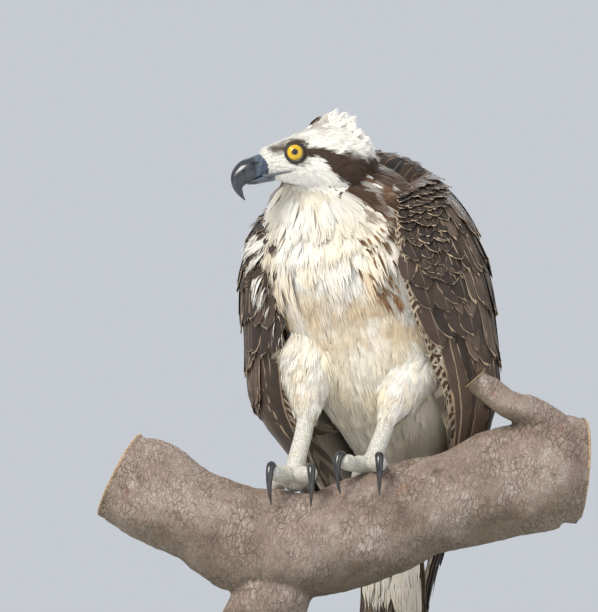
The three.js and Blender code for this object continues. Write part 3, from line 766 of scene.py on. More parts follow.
def plume_material():
    """Soft body feathers, in the colour that each one carries."""
    n = Nodes("plumage", Roughness=0.85, Sheen_Weight=0.14, Sheen_Roughness=0.5, Specular_IOR_Level=0.25)
    colour = n.attribute("Plume")
    fine = n.noise(n.place(), 900.0, 3.0)
    broad = n.noise(n.place(), 60.0, 4.0)
    shade = n.math("MULTIPLY_ADD", fine, 0.16, 0.92)
    shade = n.math("MULTIPLY", shade, n.math("MULTIPLY_ADD", broad, 0.14, 0.93))
    n.set("Base Color", n.times(colour, shade))
    n.set("Subsurface Weight", 0.06)
    n.set("Subsurface Radius", (0.006, 0.005, 0.004))
    n.set("Subsurface Scale", 0.3)
    return n.material


def skin_material():
    """Down and skin under the feathers, with the same markings."""
    n = Nodes("under_down", Roughness=0.95, Sheen_Weight=0.2, Specular_IOR_Level=0.15)
    colour = n.attribute("Plume")
    down = n.noise(n.place((1, 1, 0.35)), 420.0, 5.0)
    hollow = n.mix(0.2, colour, (0.1, 0.08, 0.06, 1))
    n.set("Base Color", n.mix(n.step(down, 0.35, 0.7), hollow, colour))
    n.set("Normal", n.bump(down, 0.7, 0.0012))
    return n.material


def vane_material():
    """Flight feathers and coverts: a dark web, a pale fringe, a shaft and fine barbs."""
    n = Nodes("vanes", Roughness=0.55, Sheen_Weight=0.04, Specular_IOR_Level=0.25)
    uv = n.add("UVMap", uv_map="Vane").outputs[0]
    parts = n.add("SeparateXYZ", {0: uv})
    across, along = parts.outputs[0], parts.outputs[1]
    side = n.math("ABSOLUTE", n.math("MULTIPLY_ADD", across, 2.0, -1.0))
    web = n.attribute("Web")
    fringe = n.attribute("Fringe")
    fringe_width, bars, seed = n.channels("Marks")
    wobble = n.noise(n.place(), 260.0, 3.0)
    edge = n.math("MULTIPLY_ADD", wobble, 0.1, n.math("MAXIMUM", side, n.math("POWER", along, 4.0)))
    start = n.math("SUBTRACT", 1.03, fringe_width)
    rim = n.step(edge, start, n.math("ADD", start, 0.07))
    barb_place = n.math("MULTIPLY_ADD", side, -0.35, along)
    cells = n.math("SINE", n.math("MULTIPLY", barb_place, 420.0))
    barbs = n.math("MULTIPLY_ADD", cells, 0.5, 0.5)
    tone = n.math("MULTIPLY_ADD", barbs, 0.14, 0.93)
    tone = n.math("MULTIPLY", tone, n.math("MULTIPLY_ADD", n.noise(n.place(), 110.0, 5.0), 0.8, 0.6))
    base = n.times(web, tone)
    band_place = n.math("ADD", n.math("MULTIPLY_ADD", side, -0.7, n.math("MULTIPLY", along, 9.0)), seed)
    band = n.step(n.math("SINE", n.math("MULTIPLY", band_place, 6.2832)), 0.05, 0.5)
    base = n.mix(n.math("MULTIPLY", band, bars), base, fringe)
    base = n.mix(rim, base, fringe)
    shaft = n.math("SUBTRACT", 1.0, n.step(side, 0.02, 0.07))
    shaft = n.math("MULTIPLY", shaft, n.math("SUBTRACT", 1.0, n.step(along, 0.75, 1.0)))
    base = n.mix(n.math("MULTIPLY", shaft, 0.4), base, (0.26, 0.19, 0.13, 1))
    n.set("Base Color", base)
    height = n.math("ADD", n.math("MULTIPLY", barbs, 0.25), n.math("MULTIPLY", shaft, 1.6))
    n.set("Normal", n.bump(height, 0.5, 0.0004))
    return n.material


def horn_material(name, dark, light, gloss):
    """Bill and talons: smooth dark horn with fine growth lines."""
    n = Nodes(name, Roughness=gloss, Coat_Weight=0.35, Coat_Roughness=0.12, Specular_IOR_Level=0.5)
    streak = n.noise(n.place((1, 1, 0.25)), 300.0, 4.0)
    broad = n.noise(n.place(), 90.0, 3.0)
    colour = n.mix(n.step(streak, 0.35, 0.75), rgba(dark), rgba(light))
    worn = n.mix(n.math("MULTIPLY", n.step(broad, 0.55, 0.8), 0.5), colour, rgba([2.2 * k for k in light]))
    attribute = n.attribute("Tint")
    n.set("Base Color", n.mix(1.0, worn, attribute, "MULTIPLY"))
    n.set("Normal", n.bump(streak, 0.12, 0.0006))
    return n.material


def scale_material():
    """Pale scaled skin of the feet, darker grey in the lines between the scales, with brown patches of
    dirt.
    """
    n = Nodes("foot_scales", Roughness=0.55, Specular_IOR_Level=0.4)
    where = n.place((1, 1, 0.7))
    edge = n.voronoi(where, 640.0)
    fine = n.noise(n.place(), 900.0, 4.0)
    cell = n.voronoi(where, 640.0, "F1", "Color")
    plate = n.step(edge, 0.0, 0.16)
    tone = n.mix(0.2, (0.72, 0.71, 0.63, 1), cell, "SOFT_LIGHT")
    tone = n.mix(n.step(fine, 0.4, 0.75), tone, (0.82, 0.81, 0.74, 1))
    dirt = n.step(n.noise(n.place(), 70.0, 5.0), 0.55, 0.75)
    tone = n.mix(n.math("MULTIPLY", dirt, 0.45), tone, (0.33, 0.28, 0.2, 1))
    n.set("Base Color", n.mix(plate, (0.5, 0.47, 0.4, 1), tone))
    n.set("Normal", n.bump(plate, 0.75, 0.0007, n.bump(fine, 0.3, 0.0004)))
    return n.material


def bark_material():
    """Pinkish grey crackled bark, with painted shade darkening its underside towards olive, painted shade
    inside the stub's hollow end, and pale cut ends.
    """
    n = Nodes("bark", Roughness=0.9, Specular_IOR_Level=0.2)
    here = n.place()
    warp = n.noise(here, 38.0, 5.0, 0.6)
    pushes = {0: n.math("MULTIPLY", warp, 0.02), 2: n.math("MULTIPLY", warp, 0.016)}
    push = n.add("CombineXYZ", pushes).outputs[0]
    moved = n.add("VectorMath", {0: here, 1: push}, operation="ADD").outputs[0]
    lying = n.add("Mapping", {"Vector": moved, "Scale": (1.45, 0.6, 0.6)}).outputs[0]
    crack = n.voronoi(lying, 190.0)
    fine_crack = n.voronoi(lying, 520.0)
    fading = n.step(n.noise(here, 34.0, 4.0), 0.36, 0.62)
    plates = n.math("MAXIMUM", n.step(crack, 0.0, 0.09), n.math("MULTIPLY", fading, 0.8))
    fine_plates = n.step(fine_crack, 0.0, 0.16)
    tone = n.ramp(
        n.noise(here, 26.0, 6.0, 0.6),
        [
            (0.28, (0.2, 0.145, 0.115)),
            (0.46, (0.36, 0.275, 0.225)),
            (0.62, (0.47, 0.38, 0.32)),
            (0.8, (0.28, 0.21, 0.15)),
        ],
    )
    grain = n.step(n.noise(lying, 240.0, 7.0, 0.75), 0.35, 0.65)
    tone = n.mix(n.math("MULTIPLY_ADD", grain, -0.4, 0.4), tone, (0.15, 0.11, 0.085, 1))
    patch = n.step(n.noise(here, 55.0, 5.0, 0.65), 0.55, 0.68)
    tone = n.mix(n.math("MULTIPLY", patch, 0.5), tone, (0.58, 0.52, 0.45, 1))
    soot = n.step(n.noise(here, 31.0, 6.0, 0.7), 0.6, 0.7)
    tone = n.mix(n.math("MULTIPLY", soot, 0.6), tone, (0.085, 0.06, 0.048, 1))
    rust = n.step(n.noise(here, 75.0, 4.0), 0.63, 0.72)
    tone = n.mix(n.math("MULTIPLY", rust, 0.55), tone, (0.3, 0.13, 0.06, 1))
    # Painted shade: spots that face down are darkened towards olive.
    under = n.attribute("UnderShade", "Fac")
    tone = n.mix(n.math("MULTIPLY", under, 0.62), tone, (0.17, 0.145, 0.08, 1))
    tone = n.mix(n.math("MULTIPLY_ADD", plates, 0.62, 0.38), (0.17, 0.115, 0.09, 1), tone)
    tone = n.mix(n.math("MULTIPLY_ADD", fine_plates, 0.3, 0.7), (0.2, 0.145, 0.115, 1), tone)
    is_cut, ring, hollow = n.channels("Cut")
    rings = n.math("SINE", n.math("MULTIPLY", n.math("ADD", ring, n.math("MULTIPLY", warp, 0.04)), 150.0))
    wood = n.mix(n.math("MULTIPLY_ADD", rings, 0.3, 0.4), (0.5, 0.36, 0.22, 1), (0.33, 0.215, 0.125, 1))
    wood = n.mix(n.step(n.noise(here, 300.0, 4.0), 0.4, 0.8), wood, (0.56, 0.43, 0.29, 1))
    colour = n.mix(is_cut, tone, wood)
    # Painted shade: inside the stub's hollow end the colour goes almost black.
    n.set("Base Color", n.mix(hollow, colour, (0.02, 0.014, 0.01, 1)))
    height = n.math("ADD", plates, n.math("MULTIPLY", fine_plates, 0.35))
    height = n.math("ADD", height, n.math("MULTIPLY", n.noise(here, 220.0, 6.0, 0.7), 0.7))
    height = n.mix(is_cut, height, n.math("MULTIPLY", rings, 0.12))
    n.set("Normal", n.bump(height, 0.85, 0.0016))
    return n.material


def iris_material():
    """A yellow iris with radial fibres, a dark rim and a black pupil."""
    n = Nodes("iris", Roughness=0.35, Specular_IOR_Level=0.5)
    radius, angle, _ = n.channels("Eye")
    spokes = {0: n.math("MULTIPLY", angle, 60.0), 1: n.math("MULTIPLY", radius, 3.0)}
    fibre = n.noise(n.add("CombineXYZ", spokes).outputs[0], 1.0)
    yellow = n.mix(n.step(fibre, 0.3, 0.75), (0.86, 0.5, 0.004, 1), (1.0, 0.72, 0.008, 1))
    yellow = n.mix(n.step(radius, 0.86, 1.0), yellow, (0.3, 0.12, 0.004, 1))
    yellow = n.mix(n.math("SUBTRACT", 1.0, n.step(radius, 0.36, 0.5)), yellow, (0.5, 0.24, 0.006, 1))
    pupil = n.math("SUBTRACT", 1.0, n.step(radius, 0.33, 0.37))
    rim = n.step(radius, 1.0, 1.04)
    colour = n.mix(pupil, yellow, (0.002, 0.002, 0.002, 1))
    n.set("Base Color", n.mix(rim, colour, (0.012, 0.009, 0.008, 1)))
    return n.material


def cornea_material():
    """The clear wet front of the eye."""
    n = Nodes("cornea", Roughness=0.03, Transmission_Weight=1.0, IOR=1.34)
    n.set("Base Color", n.mix(n.noise(n.place(), 30.0), (1, 1, 1, 1), (0.98, 0.99, 1, 1)))
    return n.material


def lid_material():
    """Bare folded skin of the eyelids and the gape."""
    n = Nodes("eyelid", Roughness=0.4, Specular_IOR_Level=0.45)
    fold = n.noise(n.place(), 900.0, 4.0)
    tint = n.attribute("Tint")
    skin = n.mix(fold, (0.6, 0.6, 0.6, 1), (1, 1, 1, 1))
    n.set("Base Color", n.mix(1.0, tint, skin, "MULTIPLY"))
    n.set("Normal", n.bump(fold, 0.5, 0.0005))
    return n.material


def stand_material(colour):
    """Satin dark paint with a light orange-peel."""
    n = Nodes("stand_paint", Roughness=0.42, Specular_IOR_Level=0.5, Coat_Weight=0.1)
    peel = n.noise(n.place(), 240.0, 3.0)
    wear = n.noise(n.place(), 14.0, 5.0)
    n.set("Base Color", n.mix(wear, rgba(colour), rgba([1.5 * k for k in colour])))
    n.set("Roughness", n.math("MULTIPLY_ADD", wear, 0.18, 0.34))
    n.set("Normal", n.bump(peel, 0.18, 0.0003))
    return n.material


def floor_material():
    """A plain light studio floor."""
    n = Nodes("floor", Roughness=0.9, Specular_IOR_Level=0.1)
    n.set("Base Color", n.mix(n.noise(n.place(), 4.0), (0.74, 0.76, 0.78, 1), (0.78, 0.795, 0.81, 1)))
    return n.material


# Markings. Each takes places in millimetres and gives colours.

WHITE = np.array([0.88, 0.85, 0.78])
CREAM = np.array([0.8, 0.69, 0.48])
BUFF = np.array([0.55, 0.36, 0.17])
DARK = np.array([0.036, 0.022, 0.015])
BROWN = np.array([0.1, 0.055, 0.03])
COPPER = np.array([0.24, 0.12, 0.06])


def head_colour(points):
    """White with a dark stripe through the eye, a flecked crown and a dark collar behind."""
    ahead, left, up = head_place(points)
    rough = lattice(points, 5.0, 3) - 0.5
    centre = -7 + 0.657 * (ahead + 8)
    half = 4.5 + 10 * smooth(-ahead, 8, 42) + 12 * smooth(-ahead, 42, 58) * smooth(left, -4, 8)
    stripe = 1 - smooth(np.abs(up - centre) + 5 * rough, 0.65 * half, 1.15 * half)
    stripe = stripe * smooth(-ahead, -3, 5) * smooth(np.abs(left), 4, 9)
    fore = np.exp(-(((up + 4.5 - 0.18 * ahead) / 4.8) ** 2)) * smooth(ahead, 5, 11)
    fore = 0.95 * fore * (1 - smooth(ahead, 20, 27)) * smooth(np.abs(left), 3, 7)
    brow = np.exp(-(((up - 2.5) / 2.4) ** 2)) * smooth(ahead, -12, -4) * (1 - smooth(ahead, 10, 16))
    ring = np.hypot(ahead - EYE_PLACE[0], up - EYE_PLACE[2])
    socket = 1 - smooth(ring, 9.0, 12.0)
    fleck = smooth(lattice(points, 3.2, 11), 0.62, 0.78) * smooth(up, 4, 12) * smooth(-ahead, 8, 28)
    collar = smooth(-ahead, 38, 48) * (1 - smooth(up, -20, -12)) * smooth(left, -4, 6)
    collar = collar * smooth(lattice(points, 4.5, 14), 0.15, 0.4)
    dark = np.clip(stripe + collar + fore + 0.35 * brow + socket, 0, 1)
    colour = blend(WHITE, DARK * 1.6, dark)
    return blend(colour, BROWN, 0.75 * fleck)


def trunk_colour(points, angle):
    """Angle is counted from the front round to the bird's left."""
    up = points[..., 2]
    turn = wrap_turn(angle)
    broad = lattice(points, 16.0, 5)
    small = lattice(points, 6.0, 9)
    colour = blend(WHITE, CREAM, 0.55 * smooth(broad, 0.35, 0.8))
    colour = blend(colour, CREAM, 0.55 * (1 - smooth(up, 90, 190)))
    band = smooth(up, 122, 142) * (1 - smooth(up, 164, 184)) * smooth(broad + 0.3 * small, 0.42, 0.85)
    colour = blend(colour, BUFF, 0.55 * band * (1 - smooth(np.abs(turn), 1.2, 1.7)))
    side = smooth(np.abs(turn), 0.55, 1.0) * smooth(up, 150, 180) * (1 - smooth(up, 226, 244))
    colour = blend(colour, BUFF * 0.9, 0.4 * side * small)
    back = smooth(np.abs(turn), 1.45, 1.85)
    nape = smooth(up, 266, 276) * (1 - smooth(np.abs(turn), 2.3, 2.8))
    colour = blend(colour, DARK, back * (1 - 0.6 * nape))
    start = np.where(turn > 0, mix(0.72, 0.48, smooth(up, 220, 252)), 1.15)
    neck_side = smooth(np.abs(turn) - start + 0.3 * (small - 0.5), 0.0, 0.2)
    neck_side = neck_side * smooth(up, 206, 226) * (1 - smooth(np.abs(turn), 2.6, 2.9))
    neck_side = neck_side * (1 - smooth(up, 270, 280)) * smooth(lattice(points, 4.5, 12), 0.12, 0.36)
    brown = blend(BROWN * 0.75, COPPER, 0.5 * smooth(lattice(points, 7.0, 13), 0.5, 0.8))
    return blend(colour, brown, neck_side)


def thigh_colour(points):
    """White with a few buff stains low down."""
    colour = blend(WHITE, CREAM, 0.5 * smooth(lattice(points, 9.0, 21), 0.3, 0.8))
    stain = smooth(lattice(points, 7.0, 22), 0.6, 0.85) * (1 - smooth(points[..., 2], 95, 130))
    return blend(colour, BUFF, 0.35 * stain)


# Feathers.


def plumes(name, field, rng, strips=11, rise=0.16, curl=0.12, streak=None):
    """Body feathers as fans of thin barbs. The field holds roots, normals, directions, lengths,
    widths, colours and the places of the roots on an unwrap."""
    root, normal, along = field["root"], unit(field["normal"]), field["along"]
    along = unit(along - np.sum(along * normal, -1, keepdims=True) * normal)
    across = np.cross(normal, along)
    count = len(root)
    u = np.linspace(-1, 1, strips)[None, :] + rng.normal(0, 0.05, (count, strips))
    length = field["length"][:, None] * rng.uniform(0.86, 1.08, (count, strips))
    width = field["width"][:, None]
    round_tip = 0.62 + 0.38 * np.sqrt(np.clip(1 - u**2, 0, 1))
    # Each barb's root, middle and tip: how far along, how far out, and how wide it still is.
    stations = [(0.0, 0.10, 0.75), (0.52, 0.8, 0.9), (1.0, 1.0, 0.0)]
    points, shares, uv, shade_normals = [], [], [], []
    for share, out, size in stations:
        x = length * mix(0.16 * (1 - np.abs(u)), round_tip, share)
        y = 0.5 * width * u * out
        flow = x / np.maximum(length, 1e-6)
        z = length * (rise * flow - curl * flow**2) - 0.18 * np.abs(y) + 0.25
        z = z + rng.normal(0, 0.12, u.shape) * share
        centre = root[:, None] + along[:, None] * x[..., None]
        centre = centre + across[:, None] * y[..., None] + normal[:, None] * z[..., None]
        half = 0.5 * size * (width / strips) * np.ones_like(u) * 1.25
        slant = unit(across[:, None] - along[:, None] * (0.35 * u)[..., None])
        sides = [centre - slant * half[..., None], centre + slant * half[..., None]]
        for place in sides if size else [centre]:
            points.append(place)
            shares.append(share)
            uv.append(np.stack([u * 0.5 * out, np.broadcast_to(flow, u.shape)], -1))
            shade_normals.append(normal[:, None] + across[:, None] * (0.45 * u)[..., None])
    shares = np.array(shares)
    # Painted shade: each barb is painted darker towards its root, as if shaded deep in the coat, and each
    # feather's tone also differs at random.
    shade = (0.78 + 0.22 * shares) * (1 + 0.12 * rng.uniform(-1, 1, (count, 1, 1)))
    shade = np.broadcast_to(shade, (count, strips, len(shares)))
    painted = field["colour"][:, None, None, :] * shade[..., None]
    if streak is not None:
        middle = np.exp(-((u / 0.22) ** 2))[..., None] * smooth(shares, 0.2, 0.7)
        painted = painted + (DARK - painted) * (middle * streak[:, None, None])[..., None]
    start = np.arange(count * strips)[:, None, None] * len(shares)
    pattern = np.array([[0, 1, 3], [0, 3, 2], [2, 3, 4]])
    return fast_mesh(
        name,
        np.stack(points, 2),
        (start + pattern).reshape(-1, 3),
        {"OFBake": field["uv"][:, None, None, :] + BAKE_PATCH * np.stack(uv, 2)},
        {"Plume": painted},
        np.stack(shade_normals, 2),
    )


def vanes(name, surface, feathers, rng, along_steps=12):
    """Flat feathers on a surface, from the rows that the feather function makes."""
    table = {key: np.array([f[key] for f in feathers], float) for key in feathers[0]}
    count = len(feathers)
    v = 1 - (1 - np.linspace(0, 1, along_steps + 1)) ** 1.6
    grid_v, grid_u = np.meshgrid(v, ACROSS, indexing="ij")
    rows, columns = grid_v.shape

    def per(key):
        return table[key][:, None, None]

    ragged = 1 + 0.05 * rng.normal(0, 1, (count, rows, columns)) * (np.abs(grid_u) > 0.9)
    end = np.clip((grid_v - per("tip")) / (1 - per("tip")), 0, 1)
    shape = mix(0.55, 1.0, smooth(grid_v, 0, 0.45)) * (1 - per("taper") * smooth(grid_v, 0.3, 1.0))
    shape = shape * np.sqrt(np.clip(1 - end**2.4, 0.004, 1))
    half = 0.5 * per("width") * shape * ragged
    reach = grid_v * (1 - per("round") * grid_u**2 * grid_v**3)
    reach = reach * (1 + 0.012 * rng.normal(0, 1, (count, 1, columns)) * grid_v)
    s = mix(per("s0"), per("s1"), reach)
    t_middle = mix(per("t0"), per("t1"), grid_v)
    zero = np.zeros_like(s)
    span = surface(s, t_middle + STEP, zero) - surface(s, t_middle - STEP, zero)
    t = t_middle + grid_u * half * 2 * STEP / np.maximum(np.linalg.norm(span, axis=-1), 0.05)
    camber = -0.045 * per("width") * grid_u**2 * shape
    flutter = 0.35 * np.sin(per("seed") * 9 + grid_v * 5 + grid_u * 1.7) * grid_v
    over = mix(per("low"), per("high"), grid_v) - per("tilt") * grid_u + camber + flutter
    spots = [np.broadcast_to(grid_u * 0.5 + 0.5, s.shape), np.broadcast_to(grid_v, s.shape)]
    vane_uv = np.stack(spots, -1)
    place = bake_place(np.clip(table["t0"], 0, 1), np.clip(table["s0"], 0, 1))
    marks = np.stack([table["rim"], table["bars"], table["seed"]], -1)
    looks = {"Web": table["web"], "Fringe": table["fringe"], "Marks": marks}
    return fast_mesh(
        name,
        surface(s, t, over),
        sheet_triangles(count, rows, columns),
        {"OFBake": place[:, None, None] + BAKE_PATCH * (vane_uv - 0.5), "Vane": vane_uv},
        {key: np.broadcast_to(look[:, None, None], (*s.shape, 3)) for key, look in looks.items()},
    )


def feather(s0, t0, s1, t1, width, low, high, web, fringe, seed, **other):
    """One vane: its root and tip on the surface, its width, the heights of both ends, its look."""
    row = dict(
        s0=s0, t0=t0, s1=s1, t1=t1, width=width, low=low, high=high, web=web, fringe=fringe,
        seed=seed, tilt=0.5, taper=0.15, round=0.04, rim=0.1, bars=0.0, tip=0.5,
    )
    row.update(other)
    return row


def on_skin(points, reach):
    """Which points lie near the skin, their places on it and the skin's normals there."""
    if "tree" not in SKIN:
        raise RuntimeError("the skin has to be built before its feathers")
    kept, spots, outs = [], [], []
    for i, place in enumerate(to_metres(points)):
        spot, out, _, distance = SKIN["tree"].find_nearest(Vector(place))
        if spot is not None and distance < reach * MM:
            kept.append(i)
            spots.append(np.array(spot) / MM - PLACE)
            outs.append(np.array(out))
    return np.array(kept, int), np.array(spots), np.array(outs)


def scatter(loft, low, high, turn_start, spacing, rng, flow=-1, reach=3.5):
    """Roots on a loft, kept where the loft's surface is the skin's own surface."""
    roots, alongs, angles, uvs = [], [], [], []
    path = spline(loft.rows, np.linspace(0, 1, 200))[:, :3]
    total = np.sum(np.linalg.norm(np.diff(path, axis=0), axis=1))
    s, row_number = low, 0
    while s <= high:
        row = spline(loft.rows, s)
        count = max(int(math.pi * (row[3] + 0.5 * (row[4] + row[5])) / spacing), 3)
        place = (np.arange(count) + 0.5 * (row_number % 2) + rng.uniform(-0.3, 0.3, count)) / count
        angle = turn_start + 2 * math.pi * (place % 1.0)
        here = np.clip(s + rng.uniform(-0.35, 0.35, count) * spacing / total, 0, 1)
        roots.append(loft.point(here, angle))
        alongs.append(loft.frame_at(here)[0] * flow)
        angles.append(angle)
        uvs.append(np.stack([(angle % (2 * math.pi)) / (2 * math.pi), here], -1))
        s += spacing * 0.85 / total
        row_number += 1
    kept, spots, outs = on_skin(np.concatenate(roots), reach)
    return {
        "root": spots,
        "normal": outs,
        "along": np.concatenate(alongs)[kept],
        "angle": np.concatenate(angles)[kept],
        "uv": 0.02 + 0.96 * np.concatenate(uvs)[kept],
    }


def thin_out(field, keep):
    """The field of only some of the feathers."""
    return {key: value[keep] for key, value in field.items()}


def trunk_loft(grow=-COAT_DEPTH):
    """The trunk's own surface, by default at the depth of the skin."""
    return Loft(TRUNK, LEFT, grow)


def head_loft():
    """The head's surface at the depth of the skin."""
    return Loft(head_rows(HEAD), HEAD_LEFT, -HEAD_COAT)


def thigh_loft(side):
    """A thigh's surface at the depth of the skin."""
    return Loft(THIGHS[side], LEFT, -THIGH_COAT)


# The skin's own surface, kept for the feathers that are set on it.
SKIN = {}


def build_skin():
    """Melts trunk, neck, head, thighs, wings and the tail's root into one skin."""
    parts = [trunk_loft().mesh(64, 60, (3.0, 6.0))]
    parts.append(ellipsoid_mesh(MANTLE, [r - COAT_DEPTH for r in MANTLE_RADII]))
    parts.append(head_loft().mesh(56, 48, (8.0, 0.0)))
    for side, sign in SIDES:
        parts.append(thigh_loft(side).mesh(36, 24, (6.0, 3.0)))
        parts.append(
            closed_sheet(
                wing_outer(sign), 60, 24, WING_BODY_END,
                lambda s, t: np.full(s.shape, -1.5), lambda s, t: wing_thickness(s, t) - 1.0,
            )
        )
        brow = head_point(3.0, sign * (EYE_PLACE[1] + 2.0), 1.5)
        parts.append(ellipsoid_mesh(brow, (9.5, 4.0, 3.0), 20, 12))
    parts.append(
        closed_sheet(
            tail_surface, 20, 12, TAIL_BODY_END,
            lambda s, t: np.full(s.shape, -0.5), lambda s, t: 8 - 8 * s, 0.15, 0.85,
        )
    )
    skin = fused("osprey_skin", parts, SKIN_CELL, 10)
    points = places_of(skin)
    ahead, _, up = head_place(points)
    in_head = smooth(ahead, -62, -50) * smooth(up, -46, -36)
    colour = blend(trunk_colour(points, trunk_angle(points)), head_colour(points), in_head)
    paint(skin.data, "Plume", np.clip(colour * 0.7, 0, 1))
    SKIN["tree"] = BVHTree.FromPolygons(
        [v.co for v in skin.data.vertices], [p.vertices for p in skin.data.polygons]
    )
    return skin


def trunk_angle(points):
    """The angle round the trunk's own axis, from the front to the bird's left."""
    table = np.asarray(TRUNK, float)
    centre_x = np.interp(points[..., 2], table[:, 2], table[:, 0])
    centre_y = np.interp(points[..., 2], table[:, 2], table[:, 1])
    rel = np.stack([points[..., 0] - centre_x, points[..., 1] - centre_y], -1)
    return np.arctan2(rel @ LEFT[:2], rel @ FORWARD[:2])


def build_body_plumes(material, spacing):
    """Feathers of the trunk and the neck, but not where the folded wing covers them."""
    rng = np.random.default_rng(SEED)
    field = scatter(trunk_loft(), 0.03, 1.0, -math.pi, spacing, rng)
    turn, up = wrap_turn(field["angle"]), field["root"][:, 2]
    under_wing = (np.abs(turn) > 1.75) & (np.abs(turn) < 2.35) & (up > 105) & (up <= 215)
    field = thin_out(field, ~under_wing)
    turn, up = wrap_turn(field["angle"]), field["root"][:, 2]
    count = len(up)
    length = mix(26.0, 24.0, smooth(up, 60, 170)) * rng.uniform(0.8, 1.15, count)
    field["length"] = length * mix(1.0, 0.62, smooth(up, 235, 268))
    field["width"] = field["length"] * 0.52
    field["colour"] = trunk_colour(field["root"] - field["along"] * 4, turn)
    streaked = smooth(turn, 0.15, 0.6) * smooth(up, 160, 185) * (1 - smooth(up, 232, 246))
    streak = (rng.uniform(0, 1, count) < 0.3 * streaked + 0.03) * rng.uniform(0.6, 1.0, count)
    field["along"] = field["along"] + rng.normal(0, 0.12, (count, 3))
    thirds = np.arange(count) % 3
    made = []
    for part in range(3):
        pick = thirds == part
        name = f"body_plumage_{part + 1}"
        made.append(plumes(name, thin_out(field, pick), rng, 11, 0.22, streak=streak[pick]))
    for thing in made:
        finish_piece(thing, material, "plumage_white")


def build_mantle_plumes(material, spacing):
    """The top of the back, where the hump of the folded shoulders shows."""
    rng = np.random.default_rng(SEED + 1)
    radii = np.array(MANTLE_RADII, float) - COAT_DEPTH
    count = int(4 * math.pi * radii[0] * radii[1] / (spacing * 1.4) ** 2)
    k = np.arange(count) + 0.5
    up = 1 - 2 * k / count
    turn = k * math.pi * (3 - math.sqrt(5))
    flat = np.sqrt(1 - up**2)
    ball = np.stack([flat * np.cos(turn), flat * np.sin(turn), up], -1)
    kept, spots, outs = on_skin(np.array(MANTLE) + ball * radii, 2.5)
    number = len(kept)
    white = smooth(lattice(spots, 9.0, 31), 0.5, 0.7) * (1 - smooth(spots[:, 0], -22, -4))
    turn_share = (turn[kept] % (2 * math.pi)) / (2 * math.pi)
    field = {
        "root": spots,
        "normal": outs,
        "along": np.array([0.32, 0.78, -0.55]) + rng.normal(0, 0.1, (number, 3)),
        "uv": np.stack([0.02 + 0.96 * turn_share, 0.5 + 0.48 * up[kept]], -1),
        "length": rng.uniform(17, 23, number),
        "width": rng.uniform(10, 13, number),
        "colour": blend(blend(DARK, COPPER, 0.3 * lattice(spots, 6.0, 33)), WHITE, 0.8 * white),
    }
    finish_piece(plumes("mantle_plumage", field, rng, 12), material, "plumage_brown")


def build_head_plumes(material, spacing):
    """Small feathers of the head, round the eyes and the gape."""
    rng = np.random.default_rng(SEED + 2)
    field = scatter(head_loft(), 0.0, 0.985, 0.0, spacing * 0.42, rng, reach=3.0)
    ahead, _, up = head_place(field["root"])
    ring = np.hypot(ahead - EYE_PLACE[0], up - EYE_PLACE[2])
    mouth = (np.abs(up + 20.5) < 1.6) & (ahead > 4)
    field = thin_out(field, (ring > EYE_RADIUS + 0.8) & ~mouth)
    ahead, _, up = head_place(field["root"])
    count = len(up)
    field["length"] = mix(4.2, 13.0, smooth(-ahead, -24, 40)) * rng.uniform(0.8, 1.2, count)
    field["width"] = field["length"] * mix(0.5, 0.42, smooth(-ahead, -20, 30))
    field["colour"] = head_colour(field["root"])
    drop = smooth(-up, 10, 32)[:, None] * np.array([0.0, 0.0, -0.8])
    field["along"] = field["along"] + drop + rng.normal(0, 0.1, (count, 3))
    streak = (rng.uniform(0, 1, count) < 0.22 * smooth(up, 2, 12)) * rng.uniform(0.4, 0.9, count)
    thing = plumes("head_plumage", field, rng, 7, rise=0.13, curl=0.07, streak=streak)
    finish_piece(thing, material, "plumage_white")


def build_thigh_plumes(material, spacing):
    """The feather trousers, down to the bare shanks."""
    rng = np.random.default_rng(SEED + 3)
    made = []
    for side, _ in SIDES:
        field = scatter(thigh_loft(side), 0.05, 1.0, -math.pi, spacing * 0.75, rng, 1)
        count = len(field["root"])
        level = field["uv"][:, 1]
        field["length"] = mix(26.0, 13.0, level) * rng.uniform(0.8, 1.15, count)
        field["width"] = field["length"] * 0.5
        field["colour"] = thigh_colour(field["root"])
        field["along"] = field["along"] + rng.normal(0, 0.12, (count, 3))
        made.append(plumes(f"thigh_plumage_{side}", field, rng, 9, rise=0.22))
    for thing in made:
        finish_piece(thing, material, "plumage_white")


